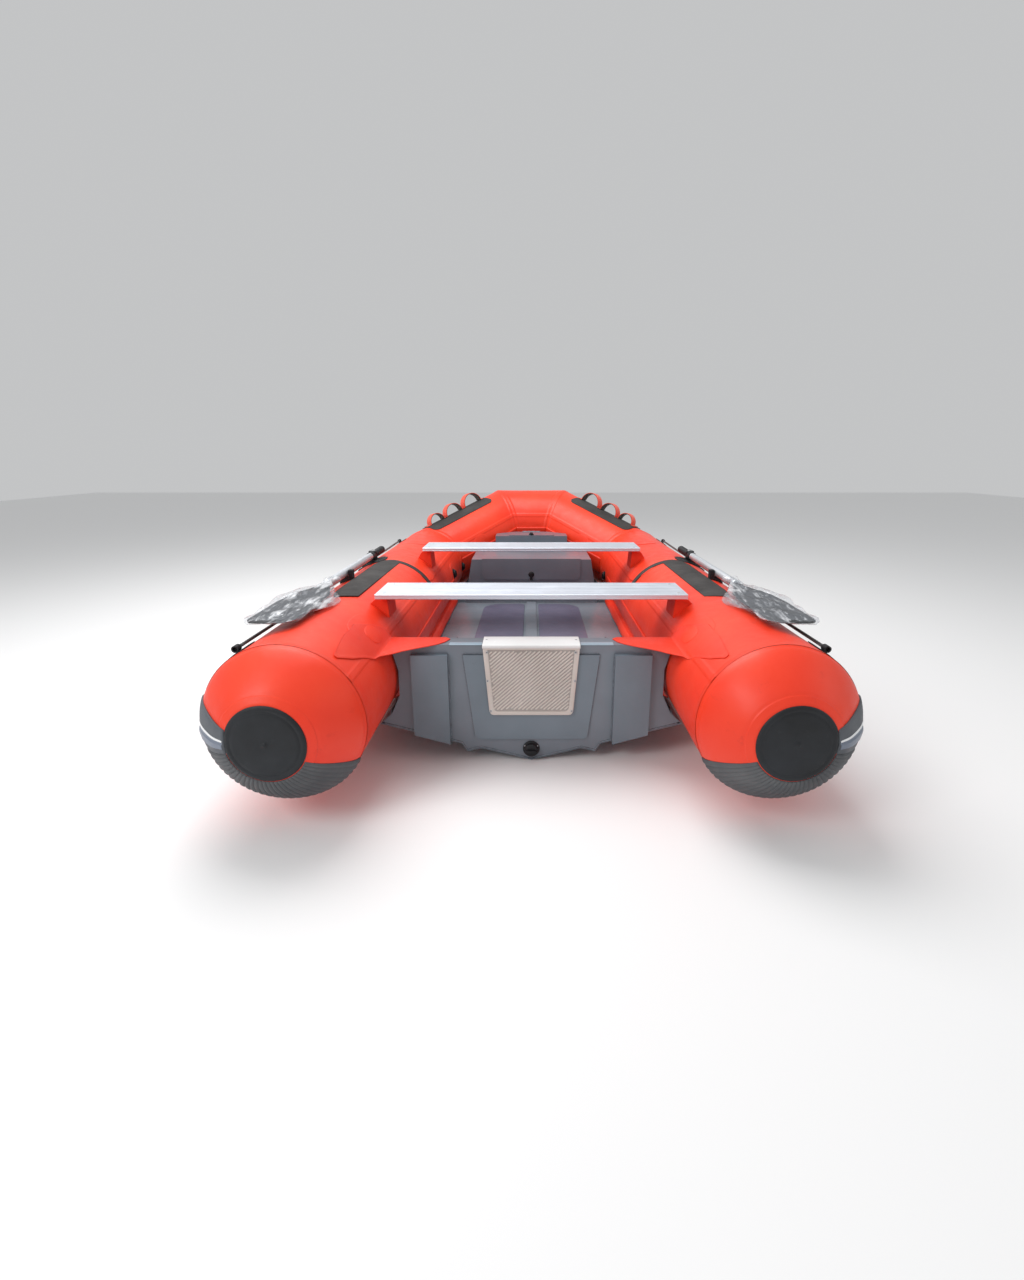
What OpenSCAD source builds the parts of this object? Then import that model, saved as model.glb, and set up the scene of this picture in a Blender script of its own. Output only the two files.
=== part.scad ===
// Rigid inflatable dinghy: metal V hull, two-chamber sides and a raised squared bow tube.
// +X starboard, +Y forward to the bow, +Z up. Origin at the middle of the overall box's underside.

/* [Tubes] */
// Outside diameter of the inflated tube
tube_d = 450; // [400:5:500]
// Distance of each side tube's axis from the centreline
tube_x = 678; // [640:1:720]
// Height of the side tubes' axis above the keel
tube_z = 312; // [300:1:330]
// Thickness of the coated fabric
fabric = 2; // [1.2:0.1:3]
// Length of the side tube forward of the transom, to the shoulder mitre
side_len = 2155; // [2100:5:2250]
// Length of the side tube aft of the transom, to the cone seam
tail_len = 369; // [300:1:420]
// Forward reach of the bow mitre from the transom
bow_reach = 2591; // [2550:1:2700]
// Half width of the straight front tube, at its axis
bow_x = 191; // [150:1:240]
// Height of the front tube's axis above the keel
bow_z = 543; // [500:1:600]
// Length of a stern cone
cone_len = 126; // [100:1:160]
// Radius of the stern cap
cap_r = 105; // [90:1:120]

/* [Hull] */
// Plate thickness of the pan
plate = 3; // [2:0.5:5]
// Height of the transom's top above the keel
transom_z = 419; // [380:1:440]
// Fore and aft depth of the boxed transom
transom_t = 80; // [50:1:100]
// Height of the cockpit floor's top
floor_z = 163; // [155:1:175]
// Distance of the bow locker's face from the transom
locker_y = 1646; // [1600:1:1700]
// Height of the bow locker's deck
locker_z = 424; // [400:1:440]
// Height of the foredeck
fore_z = 503; // [480:1:520]

/* [Seats] */
// Length of a seat board, athwartships
seat_l = 1086; // [1000:1:1150]
// Width of a seat board, fore and aft
seat_w = 206; // [180:1:230]
// Thickness of a seat board
seat_t = 18; // [16:1:35]
// Aft edge of the rear seat, from the transom
seat_rear_y = 145; // [130:1:200]
// Aft edge of the front seat, from the transom
seat_front_y = 1112; // [1000:1:1200]
// Height of the rear seat's top
seat_rear_z = 555; // [550:1:570]
// Height of the front seat's top
seat_front_z = 572; // [555:1:580]

/* [Oars] */
// Distance of an oar's shaft from the centreline
oar_x = 758; // [745:1:780]
// Height of an oar's shaft
oar_z = 559; // [557:1:570]
// Diameter of an oar's shaft
oar_d = 32; // [28:1:34]
// Distance of the rowlock from the transom
rowlock_y = 985; // [900:1:1050]

/* [Hidden] */
tube_r = tube_d / 2;
skin = 0.6;
glue = 0.4;
round_fn = 96;
big = 5000;
strake_t = 8;
cap_t = 12;
stern_reach = tail_len + cone_len + cap_t + 2;
ty = -(bow_reach + tube_r + strake_t - stern_reach) / 2;
shoulder = [tube_x, ty + side_len, tube_z];
bow = [bow_x, ty + bow_reach, bow_z];
d_side = [0, 1, 0];
d_angle = (bow - shoulder) / norm(bow - shoulder);
d_front = [-1, 0, 0];
n_shoulder = (d_side + d_angle) / norm(d_side + d_angle);
n_bow = (d_angle + d_front) / norm(d_angle + d_front);
angle_len = norm(bow - shoulder);

// angle round the tube of the fold between two runs, seen in the frame of the run along d
function fold_angle(k, d) =
  let (u0 = cross(d, [0, 0, 1]))
  let (u = u0 / norm(u0))
  atan2(k * cross(u, d), k * u);
fold_shoulder = cross(d_side, d_angle);
fold_bow = cross(d_angle, d_front);
turn_angle = fold_angle(fold_shoulder, d_angle) - fold_angle(fold_shoulder, d_side);
turn_front = turn_angle + fold_angle(fold_bow, d_front) - fold_angle(fold_bow, d_angle);

// colours
red = [0.86, 0.16, 0.07];
hull_grey = [0.35, 0.37, 0.40];
alu = [0.75, 0.77, 0.80];
black = [0.08, 0.08, 0.09];
rubber_grey = [0.30, 0.31, 0.33];
cream = [0.82, 0.80, 0.77];
film = [0.75, 0.78, 0.82];

// everything on the n side of the plane through p
module beyond(p, n) {
  translate(p)
    rotate([0, acos(n[2]), atan2(n[1], n[0])])
      translate([-big / 2, -big / 2, 0])
        cube(big);
}

// frame at p along direction d: x outboard, y up, z back along d
module along(p, d) {
  u0 = cross(d, [0, 0, 1]);
  u = u0 / norm(u0);
  w = cross(u, d);
  multmatrix([
    [u[0], w[0], -d[0], p[0]],
    [u[1], w[1], -d[1], p[1]],
    [u[2], w[2], -d[2], p[2]],
    [0, 0, 0, 1]
  ])
    children();
}

// straight side, from from_y forward to the shoulder mitre
module side_run(from_y, gap = 0) {
  reach = 400;
  difference() {
    along(shoulder + d_side * reach, d_side)
      linear_extrude(height = shoulder[1] + reach - from_y)
        children();
    beyond(shoulder - n_shoulder * gap, n_shoulder);
  }
}

// slanted run between the shoulder and the bow mitre, starboard side
module angle_run(gap = 0, mitre = 0) {
  reach = 400;
  difference() {
    along(bow + d_angle * reach, d_angle)
      linear_extrude(height = angle_len + 2 * reach)
        children();
    beyond(bow - n_bow * mitre, n_bow);
    beyond(shoulder + n_shoulder * gap, -n_shoulder);
  }
}

// straight front run between the two bow mitres
module front_run(mitre = 0) {
  reach = 400;
  difference() {
    along([-bow_x - reach, bow[1], bow[2]], d_front)
      linear_extrude(height = 2 * (bow_x + reach))
        children();
    beyond(bow + n_bow * mitre, -n_bow);
    mirror([1, 0, 0])
      beyond(bow + n_bow * mitre, -n_bow);
  }
}

// whole bow run from shoulder to shoulder, the section turning with the folds so that it meets itself
module bow_run(gap = 0, mitre = 0) {
  front_run(mitre)
    rotate([0, 0, turn_front])
      children();
  for (s = [0, 1])
    mirror([s, 0, 0])
      angle_run(gap, mitre)
        rotate([0, 0, turn_angle])
          children();
}

// flat sector between two angles, outboard is 0 and the top is 90
module sector(r0, r1, a0, a1) {
  far = 2 * r1;
  intersection() {
    difference() {
      circle(r = r1, $fn = round_fn);
      circle(r = r0, $fn = round_fn);
    }
    polygon([
      [0, 0],
      far * [cos(a0), sin(a0)],
      far * [cos((2 * a0 + a1) / 3), sin((2 * a0 + a1) / 3)],
      far * [cos((a0 + 2 * a1) / 3), sin((a0 + 2 * a1) / 3)],
      far * [cos(a1), sin(a1)]
    ]);
  }
}

module hollow_tube_side() {
  difference() {
    side_run(ty - tail_len, glue / 2)
      circle(r = tube_r, $fn = round_fn);
    side_run(ty - tail_len + fabric, glue / 2 + fabric)
      circle(r = tube_r - fabric, $fn = round_fn);
  }
}

// half profile of the stern cone as [radius, distance aft of the seam]
cone_shape = [
  [tube_r, 0],
  [tube_r - 9, cone_len * 0.17],
  [tube_r - 27, cone_len * 0.38],
  [tube_r - 55, cone_len * 0.63],
  [tube_r - 87, cone_len * 0.86],
  [cap_r + 2, cone_len]
];
cone_steps = len(cone_shape) - 1;

function cone_off(off) = [for (p = cone_shape) [p[0] + off * 0.8, p[1] + off * 0.6]];

module at_cone() {
  translate([tube_x, ty - tail_len, tube_z])
    rotate([90, 0, 0])
      children();
}

module cone_body() {
  at_cone()
    difference() {
      rotate_extrude($fn = round_fn)
        polygon(concat([[0, glue]], [[tube_r, glue]],
          [for (i = [1:cone_steps]) cone_shape[i]], [[0, cone_len]]));
      rotate_extrude($fn = round_fn)
        polygon(concat([[0, glue + fabric]], [[tube_r - 2 * fabric, glue + fabric]],
          [for (i = [1:cone_steps - 1]) cone_shape[i] - [2 * fabric, fabric]],
          [[cap_r - fabric, cone_len - fabric]], [[0, cone_len - fabric]]));
    }
}

// skin lying on the cone between two angles
module cone_skin(thick, a0, a1) {
  inner = cone_off(skin);
  outer = cone_off(skin + thick);
  at_cone()
    rotate([0, 0, a0])
      rotate_extrude(angle = a1 - a0, $fn = round_fn)
        polygon(concat(inner, [for (i = [cone_steps:-1:0]) outer[i]]));
}

module cap_body() {
  rim = 8;
  nib_r = 4;
  translate([tube_x, ty - tail_len - cone_len - glue, tube_z])
    rotate([90, 0, 0])
      rotate_extrude($fn = round_fn)
        polygon([
          [0, 0], [cap_r, 0], [cap_r + 1, 4], [cap_r - rim, 9], [cap_r - 2 * rim, 7],
          [nib_r + 4, cap_t - 2], [nib_r, cap_t], [0, cap_t + 1]
        ]);
}

// rubbing strake section: flat band above, rounded nose below
band_a0 = 6;
band_a1 = 21;
nose_a = -4;
nose_r = 19;
module strake_shape() {
  sector(tube_r + skin, tube_r + skin + 5, -15, band_a1);
  difference() {
    rotate([0, 0, nose_a])
      translate([tube_r - 6, 0])
        circle(r = nose_r, $fn = 32);
    circle(r = tube_r + skin, $fn = round_fn);
  }
}

module strake_side() {
  side_run(ty - tail_len, glue)
    strake_shape();
  cone_skin(9, -14, band_a1);
}

// bottom plating lines: [y from the transom, then half points from keel to gunwale]
hull_lines = [
  [0, [[0, 0], [172, 44], [221, 32], [240, 62], [515, 136], [480, 172], [450, 240]]],
  [1500, [[0, 0], [172, 44], [221, 32], [240, 62], [515, 136], [480, 172], [450, 240]]],
  [2000, [[0, 30], [160, 74], [205, 66], [222, 94], [500, 150], [472, 178], [445, 238]]],
  [2155, [[0, 70], [130, 110], [168, 106], [182, 128], [470, 158], [440, 192], [392, 250]]],
  [2300, [[0, 132], [88, 168], [112, 168], [122, 184], [288, 250], [252, 290], [208, 350]]],
  [2450, [[0, 208], [50, 238], [64, 241], [70, 251], [150, 300], [125, 320], [100, 342]]],
  [2590, [[0, 288], [10, 292], [14, 293], [17, 295], [30, 299], [25, 303], [20, 307]]]
];
line_n = len(hull_lines[0][1]);
ring_n = 2 * line_n - 1;

function full_ring(h) = concat(
  [for (i = [line_n - 1:-1:1]) [-h[i][0], h[i][1]]],
  [h[0]],
  [for (i = [1:line_n - 1]) h[i]]
);
// inside face of the plating; the last point stands proud so that the pan is open on top
lift_z = [1.05, 1.05, 1.05, 1.3, 0.9, 0.5, 20];
lift_x = [0, 0, 0, 0.4, 1.3, 1.3, 1.3];
function inside_half(h) = [for (i = [0:line_n - 1])
  [max(0, h[i][0] - plate * lift_x[i]), h[i][1] + plate * lift_z[i]]];

// each end is closed by a fan about a point just below the middle of its top edge
module loft(rings, ys, sink = 10) {
  m = len(rings);
  pts = [for (k = [0:m - 1]) for (p = rings[k]) [p[0], ys[k], p[1]]];
  hubs = [for (k = [0, m - 1]) [0, ys[k], rings[k][0][1] - sink]];
  side = [for (k = [0:m - 2]) for (i = [0:ring_n - 1])
    let (a = k * ring_n + i)
    let (b = k * ring_n + (i + 1) % ring_n)
    let (c = b + ring_n)
    let (d = a + ring_n)
    each (i < line_n - 1 ? [[a, b, d], [b, c, d]] : [[a, b, c], [a, c, d]])];
  aft = [for (i = [0:ring_n - 1]) [m * ring_n, (i + 1) % ring_n, i]];
  fore = [for (i = [0:ring_n - 1])
    [m * ring_n + 1, (m - 1) * ring_n + i, (m - 1) * ring_n + (i + 1) % ring_n]];
  polyhedron(points = concat(pts, hubs), faces = concat(side, aft, fore));
}

module hull_bottom() {
  last = len(hull_lines) - 1;
  ys = [for (h = hull_lines) ty + h[0]];
  inner_ys = [for (k = [0:last]) k == 0 ? ys[0] - 20 : (k == last ? ys[k] - 12 : ys[k])];
  color(hull_grey)
    difference() {
      loft([for (h = hull_lines) full_ring(h[1])], ys, 5);
      loft([for (h = hull_lines) full_ring(inside_half(h[1]))], inner_ys, 20 * plate + 10);
    }
}

// outline of the transom seen from astern, clear of the pan and the tubes
transom_edge = [
  [0, 7], [173, 50], [222, 38], [238, 69], [506, 143], [474, 174], [444, 240],
  [443, 330], [462, 400], [462, transom_z]
];

module mirrored_outline(pts) {
  n = len(pts);
  polygon(concat(pts, [for (i = [n - 1:-1:0]) [-pts[i][0], pts[i][1]]]));
}

// stands a flat outline up across the boat, its aft face at y
module upright(y, thick) {
  translate([0, y + thick, 0])
    rotate([90, 0, 0])
      linear_extrude(height = thick)
        children();
}

module transom() {
  wall = 4;
  inner_edge = [
    [0, 14], [170, 58], [225, 60], [235, 77], [480, 146], [466, 170], [438, 238],
    [438, 331], [456, 401], [456, transom_z - wall]
  ];
  color(hull_grey)
    difference() {
      upright(ty, transom_t)
        mirrored_outline(transom_edge);
      upright(ty + wall, transom_t - 2 * wall)
        mirrored_outline(inner_edge);
    }
}

panel_t = 8;
module transom_panel() {
  top_w = 226;
  low_w = 192;
  color(hull_grey)
    upright(ty - panel_t, panel_t - glue)
      polygon([
        [-low_w, 92], [-low_w + 14, 82], [low_w - 14, 82], [low_w, 92],
        [top_w, 386], [-top_w, 386]
      ]);
}

module transom_stiffeners() {
  depth = 22;
  color(hull_grey)
    for (s = [-1, 1])
      upright(ty - depth, depth - glue)
        scale([s, 1])
          polygon([[276, 68], [397, 103], [397, 389], [276, 389]]);
}

drain_z = 43;
module drain_flange() {
  color(black)
    translate([0, ty - glue, drain_z])
      rotate([90, 0, 0])
        difference() {
          cylinder(r = 29, h = 6, $fn = 48);
          translate([0, 0, -1])
            cylinder(r = 17, h = 8, $fn = 48);
        }
}

module drain_plug() {
  grip_r = 23;
  color(black)
    translate([0, ty - 1, drain_z])
      rotate([90, 0, 0]) {
        cylinder(r = 16, h = 7, $fn = 48);
        translate([0, 0, 6.2])
          cylinder(r = grip_r, h = 12, $fn = 48);
        translate([-grip_r + 2, -4, 18])
          cube([2 * grip_r - 4, 8, 12]);
      }
}

pad_y = ty - panel_t - 12;
pad_half_top = 160;
pad_half_low = 140;
pad_low_z = 176;
lip = 5;
screw_spots = [[145, 400], [145, 300], [136, 192]];
lip_screw_x = 150;
head_r = 5;
head_h = 2.4;

// countersunk screw head, or with a gap the pocket that it sits in
module screw_head(gap = 0) {
  translate([0, 0, -head_h - gap])
    cylinder(r1 = head_r - 2 + gap, r2 = head_r + gap, h = head_h + gap, $fn = 32);
  if (gap > 0)
    cylinder(r = head_r + gap, h = 1, $fn = 32);
}

module screw_places(depth = 0) {
  for (s = [-1, 1]) {
    for (p = screw_spots)
      translate([s * p[0], pad_y + depth, p[1]])
        rotate([90, 0, 0])
          children();
    translate([s * lip_screw_x, ty + 40, transom_z + glue + lip - depth])
      children();
  }
}

module motor_pad() {
  r = 14;
  color(cream)
    difference() {
      union() {
        upright(pad_y, 11) {
          polygon([
            [-pad_half_low - 1, pad_low_z + r], [-pad_half_low + r, pad_low_z],
            [pad_half_low - r, pad_low_z], [pad_half_low + 1, pad_low_z + r],
            [pad_half_top, transom_z + lip + glue], [-pad_half_top, transom_z + lip + glue]
          ]);
          for (s = [-1, 1])
            translate([s * (pad_half_low - r), pad_low_z + r])
              circle(r = r, $fn = 32);
        }
        translate([-pad_half_top, pad_y, transom_z + glue])
          cube([2 * pad_half_top, ty - pad_y + transom_t, lip]);
      }
      screw_places()
        screw_head(glue);
    }
}

module pad_screws() {
  color(alu)
    screw_places(0.3)
      screw_head();
}

module rounded_plate(w, l, r) {
  translate([-w / 2 + r, -l / 2])
    square([w - 2 * r, l]);
  translate([-w / 2, -l / 2 + r])
    square([w, l - 2 * r]);
  for (i = [-1, 1])
    for (j = [-1, 1])
      translate([i * (w / 2 - r), j * (l / 2 - r)])
        circle(r = r, $fn = 32);
}

floor_y0 = ty + transom_t + 3;
floor_y1 = ty + locker_y - 2;
module floor_deck() {
  half_w = 476;
  mid = (floor_y0 + floor_y1) / 2;
  panel_l = (floor_y1 - floor_y0) / 2 - 70;
  color(hull_grey) {
    translate([-half_w, floor_y0, floor_z - plate])
      cube([2 * half_w, floor_y1 - floor_y0, plate]);
    for (s = [-1, 1])
      for (e = [-1, 1])
        translate([s * 205, mid + e * (panel_l / 2 + 20), floor_z - 1])
          linear_extrude(height = 4)
            rounded_plate(320, panel_l, 60);
  }
}

module floor_rib() {
  color(hull_grey)
    translate([-28, floor_y0 + 10, floor_z + glue])
      cube([56, floor_y1 - floor_y0 - 20, 9]);
}

// bow locker: trapezoid box with a hatch opening in its deck and face
box_low = 398;
box_top = 352;
box_len = 450;
hatch_half = 276;
module locker_box() {
  z0 = floor_z + glue;
  y0 = ty + locker_y;
  t = plate;
  color(hull_grey)
    difference() {
      upright(y0, box_len)
        polygon([[-box_low, z0], [box_low, z0], [box_top, locker_z], [-box_top, locker_z]]);
      upright(y0 + t, box_len - 2 * t)
        polygon([
          [-box_low + t, z0 + t], [box_low - t, z0 + t],
          [box_top - t, locker_z - t], [-box_top + t, locker_z - t]
        ]);
      translate([-hatch_half, y0 - 1, locker_z - 100])
        cube([2 * hatch_half, t + 30, 101]);
      translate([-hatch_half, y0 - 1, locker_z - t - 1])
        cube([2 * hatch_half, 322, t + 2]);
    }
}

lid_half = 291;
lid_len = 345;
lid_drop = 120;
lid_hinge_y = ty + locker_y - 7 + lid_len;
lid_hinge_z = locker_z + 8;
module locker_lid() {
  y0 = ty + locker_y - 7;
  z0 = locker_z + 2;
  r = 30;
  color(hull_grey) {
    translate([-lid_half, y0, z0])
      cube([2 * lid_half, lid_len - 8, 3]);
    upright(y0, 3) {
      translate([-lid_half, z0 - lid_drop + r])
        square([2 * lid_half, lid_drop - r + 1]);
      translate([-lid_half + r, z0 - lid_drop])
        square([2 * (lid_half - r), r + 1]);
      for (s = [-1, 1])
        translate([s * (lid_half - r), z0 - lid_drop + r])
          circle(r = r, $fn = 48);
    }
    for (s = [-1, 1])
      translate([s * 180 - 35, lid_hinge_y, lid_hinge_z])
        rotate([0, 90, 0])
          cylinder(r = 5, h = 70, $fn = 32);
    for (s = [-1, 1])
      translate([s * 180 - 35, lid_hinge_y - 18, z0 + 2])
        cube([70, 18, 3]);
  }
}

latch_z = locker_z - 88;
module latch_shape() {
  cylinder(r = 17, h = 6, $fn = 48);
  translate([0, 0, 5])
    cylinder(r = 11, h = 6, $fn = 48);
  translate([-9, -34, 6.5])
    cube([18, 46, 7]);
}

module locker_latch() {
  color(black)
    translate([0, ty + locker_y - 7.6, latch_z])
      rotate([90, 0, 0])
        latch_shape();
}

fore_y = ty + locker_y + box_len + 2;
module foredeck() {
  edge = [[235, 0], [235, 130], [168, 190], [112, 236]];
  inner = [[232, 3], [232, 128], [166, 187], [110, 233]];
  drop = 150;
  color(hull_grey)
    translate([0, fore_y, 0])
      difference() {
        translate([0, 0, fore_z - drop])
          linear_extrude(height = drop)
            mirrored_outline(edge);
        translate([0, 0, fore_z - drop - 1])
          linear_extrude(height = drop - plate + 1)
            mirrored_outline(inner);
        translate([-140, 24, fore_z - 10])
          cube([280, 150, 20]);
      }
}

anchor_len = 180;
anchor_hinge_y = fore_y + 10 + anchor_len;
anchor_hinge_z = fore_z + 6;
module anchor_lid() {
  color(hull_grey) {
    translate([0, fore_y + 10 + (anchor_len - 8) / 2, fore_z + 1])
      linear_extrude(height = 3)
        rounded_plate(300, anchor_len - 8, 24);
    translate([-60, anchor_hinge_y, anchor_hinge_z])
      rotate([0, 90, 0])
        cylinder(r = 4, h = 120, $fn = 32);
    translate([-60, anchor_hinge_y - 16, fore_z + 3.5])
      cube([120, 16, 2.5]);
  }
}

module anchor_latch() {
  color(black)
    translate([0, fore_y + 40, fore_z + 4.6])
      latch_shape();
}

module tube_starboard() {
  color(red)
    hollow_tube_side();
}

module tube_port() {
  color(red)
    mirror([1, 0, 0])
      hollow_tube_side();
}

// the bow tube's three fabric barrels, open to each other at the mitre welds
module tube_bow() {
  color(red) {
    difference() {
      front_run(glue / 2)
        circle(r = tube_r, $fn = round_fn);
      front_run(-1)
        circle(r = tube_r - fabric, $fn = round_fn);
    }
    for (s = [0, 1])
      mirror([s, 0, 0])
        difference() {
          angle_run(glue / 2, glue / 2)
            circle(r = tube_r, $fn = round_fn);
          angle_run(glue / 2 + fabric, -1)
            circle(r = tube_r - fabric, $fn = round_fn);
        }
  }
}

module cone_starboard() {
  color(red)
    cone_body();
}

module cone_port() {
  color(red)
    mirror([1, 0, 0])
      cone_body();
}

module cap_starboard() {
  color(black)
    cap_body();
}

module cap_port() {
  color(black)
    mirror([1, 0, 0])
      cap_body();
}

module strake_starboard() {
  color(rubber_grey)
    strake_side();
}

module strake_port() {
  color(rubber_grey)
    mirror([1, 0, 0])
      strake_side();
}

module strake_bow() {
  color(rubber_grey)
    bow_run(glue, glue / 2)
      strake_shape();
}

module wear_patch_starboard() {
  color(rubber_grey)
    cone_skin(4, -152, -18);
}

module wear_patch_port() {
  color(rubber_grey)
    mirror([1, 0, 0])
      cone_skin(4, -152, -18);
}

// red cloth wing from the tube over the transom's top corner
module gusset() {
  web_x = 479;
  translate([0, 0, transom_z + glue])
    linear_extrude(height = 3)
      polygon([
        [275, ty + transom_t + 2], [web_x, ty + transom_t + 2], [web_x, ty - 128],
        [415, ty - 62], [340, ty - 24], [275, ty - 6]
      ]);
  intersection() {
    along([tube_x, ty + 200, tube_z], d_side)
      linear_extrude(height = 700)
        sector(tube_r + skin, tube_r + skin + 2.4, 110, 165);
    translate([0, 0, transom_z])
      linear_extrude(height = 90)
        polygon([
          [470, ty + transom_t + 2], [500, ty + transom_t + 2], [560, ty - 60],
          [558, ty - 180], [542, ty - 322], [532, ty - 327], [508, ty - 270],
          [470, ty - 128]
        ]);
  }
}

module gusset_starboard() {
  color(red)
    gusset();
}

module gusset_port() {
  color(red)
    mirror([1, 0, 0])
      gusset();
}

// bonding flap from the tube's inner side down to the floor's edge
module flap() {
  color(red)
    difference() {
      translate([0, ty + 1700, 0])
        rotate([90, 0, 0])
          linear_extrude(height = 1700 - transom_t - 6) {
            translate([tube_x, tube_z])
              sector(tube_r + skin, tube_r + skin + 2.4, 182, 213);
            difference() {
              polygon([[440, floor_z + 5], [443, floor_z + 5], [450, 196], [479, 214], [476, 216], [447, 199]]);
              translate([tube_x, tube_z])
                circle(r = tube_r + skin, $fn = round_fn);
            }
          }
      translate([0, floor_y1 - 6, 0])
        cube([600, 400, 800]);
    }
}

module flap_starboard() {
  flap();
}

module flap_port() {
  mirror([1, 0, 0])
    flap();
}

// bonding flap round the inner side of the bow tube, down to the hull's edge
module flap_bow() {
  color(red)
    bow_run(glue, glue / 2)
      sector(tube_r + skin, tube_r + skin + 2.4, 167, 194);
}

// tread pad on the tube's top with a narrow strap down the inner side
pad_outline = [
  [621, 222], [640, 206], [688, 190], [716, 250], [722, 320], [722, 850],
  [706, 915], [668, 952], [630, 958], [618, 930]
];
module step_pad() {
  strap_w = 46;
  intersection() {
    along([tube_x, ty + 1000, tube_z], d_side)
      linear_extrude(height = 850)
        sector(tube_r + skin, tube_r + skin + 3, 70, 112);
    linear_extrude(height = 600)
      polygon([for (p = pad_outline) [p[0], ty + p[1]]]);
  }
  along([tube_x, ty + 958, tube_z], d_side)
    linear_extrude(height = strap_w)
      sector(tube_r + skin, tube_r + skin + 3, 100, 168);
}

module step_pad_starboard() {
  color(black)
    step_pad();
}

module step_pad_port() {
  color(black)
    mirror([1, 0, 0])
      step_pad();
}

// frame on the slanted tube: x radial at angle a, z back along the tube
module on_slant(dist, a) {
  along(shoulder + d_angle * dist, d_angle)
    rotate([0, 0, a])
      children();
}

bow_pad_from = 75;
bow_pad_to = 590;
module bow_pad() {
  along(shoulder + d_angle * bow_pad_to, d_angle)
    linear_extrude(height = bow_pad_to - bow_pad_from)
      sector(tube_r + skin, tube_r + skin + 3, 60, 111);
}

loop_spots = [[482, 74], [315, 68], [168, 58]];
loop_a = 80;
loop_w = 58;
module bow_loops() {
  base = tube_r + skin + 3.4;
  strap = 6;
  for (l = loop_spots)
    on_slant(l[0], loop_a)
      translate([base, 0, 0])
        rotate([90, 0, 0])
          linear_extrude(height = loop_w, center = true)
            intersection() {
              difference() {
                circle(r = l[1], $fn = 64);
                circle(r = l[1] - strap, $fn = 64);
              }
              translate([0, -100])
                square([100, 200]);
            }
}

module bow_pad_starboard() {
  color(black)
    bow_pad();
}

module bow_pad_port() {
  color(black)
    mirror([1, 0, 0])
      bow_pad();
}

module bow_loops_starboard() {
  color(red)
    bow_loops();
}

module bow_loops_port() {
  color(red)
    mirror([1, 0, 0])
      bow_loops();
}

// hollow seat board section, across its width
module seat_board(y, z) {
  wall = 2.5;
  color(alu)
    translate([-seat_l / 2, y, z - seat_t])
      rotate([90, 0, 90])
        linear_extrude(height = seat_l)
          difference() {
            square([seat_w, seat_t]);
            for (i = [0:2])
              translate([wall + i * (seat_w - wall) / 3, wall])
                square([(seat_w - wall) / 3 - wall, seat_t - 2 * wall]);
          }
}

module seat_rear() {
  seat_board(ty + seat_rear_y, seat_rear_z);
}

module seat_front() {
  seat_board(ty + seat_front_y, seat_front_z);
}

// moulded shoe between the tube and the underside of a seat board
shoe_in = 46;
module seat_shoe(y, z) {
  top = z - seat_t - 1;
  for (s = [0, 1])
    mirror([s, 0, 0])
      upright(y + shoe_in, seat_w - 2 * shoe_in)
        difference() {
          polygon([
            [510, 440], [506, 462], [512, top], [540, top], [558, top - 12], [584, 500], [560, 440]
          ]);
          translate([tube_x, tube_z])
            circle(r = tube_r + skin, $fn = round_fn);
        }
}

module holders_rear() {
  color(red)
    seat_shoe(ty + seat_rear_y, seat_rear_z);
}

module holders_front() {
  color(red)
    seat_shoe(ty + seat_front_y, seat_front_z);
}

// rowlock: patch on the tube, post with a see-through eye, upright pin
pin_r = 5;
module rowlock() {
  eye_y = ty + rowlock_y;
  seat_h = oar_z - oar_d / 2 - 6;
  along([tube_x, eye_y + 60, tube_z], d_side)
    linear_extrude(height = 120)
      sector(tube_r + skin, tube_r + skin + 4, 52, 84);
  difference() {
    union() {
      upright(eye_y - 14, 28)
        difference() {
          polygon([
            [736, 500], [736, seat_h], [783, seat_h], [787, 541],
            [806, 541], [815, 528], [804, 500], [800, 470]
          ]);
          translate([797, 525])
            circle(r = 10, $fn = 32);
        }
      translate([oar_x, eye_y, seat_h - 2])
        cylinder(r = pin_r, h = oar_d + 14, $fn = 32);
    }
    along([tube_x, eye_y + 60, tube_z], d_side)
      linear_extrude(height = 120)
        circle(r = tube_r + skin + 3.5, $fn = round_fn);
  }
}

module rowlock_starboard() {
  color(black)
    rowlock();
}

module rowlock_port() {
  color(black)
    mirror([1, 0, 0])
      rowlock();
}

blade_root = ty + 330;
blade_tip = ty - 265;
blade_half = 74;
module oar_shaft() {
  eye_y = ty + rowlock_y;
  grip_y = eye_y + 34;
  grip_l = 150;
  difference() {
    union() {
      translate([oar_x, eye_y + 30, oar_z])
        rotate([90, 0, 0])
          cylinder(r = oar_d / 2, h = eye_y + 30 - blade_root, $fn = 48);
      translate([oar_x, grip_y + grip_l, oar_z])
        rotate([90, 0, 0])
          cylinder(r = oar_d / 2 - 1, h = grip_l + 10, $fn = 48);
      translate([oar_x, eye_y, oar_z - oar_d / 2 - 4])
        cylinder(r = 20, h = oar_d + 8, $fn = 48);
    }
    translate([oar_x, eye_y, oar_z - 60])
      cylinder(r = pin_r + 0.4, h = 120, $fn = 32);
  }
}

// blade outline: narrow at the shaft, broad and squared at the tip
module blade_outline(grow) {
  neck = 18 + grow;
  half = blade_half + grow;
  polygon([
    [-neck, 0], [neck, 0], [neck + 6, -60], [half - 8, -190], [half, -300],
    [half - 4, -520], [half - 26, -560 - grow], [-half + 26, -560 - grow],
    [-half + 4, -520], [-half, -300], [-half + 8, -190], [-neck - 6, -60]
  ]);
}

module oar_blade() {
  translate([oar_x, blade_root - 6, oar_z - 4])
    linear_extrude(height = 8)
      blade_outline(0);
}

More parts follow.
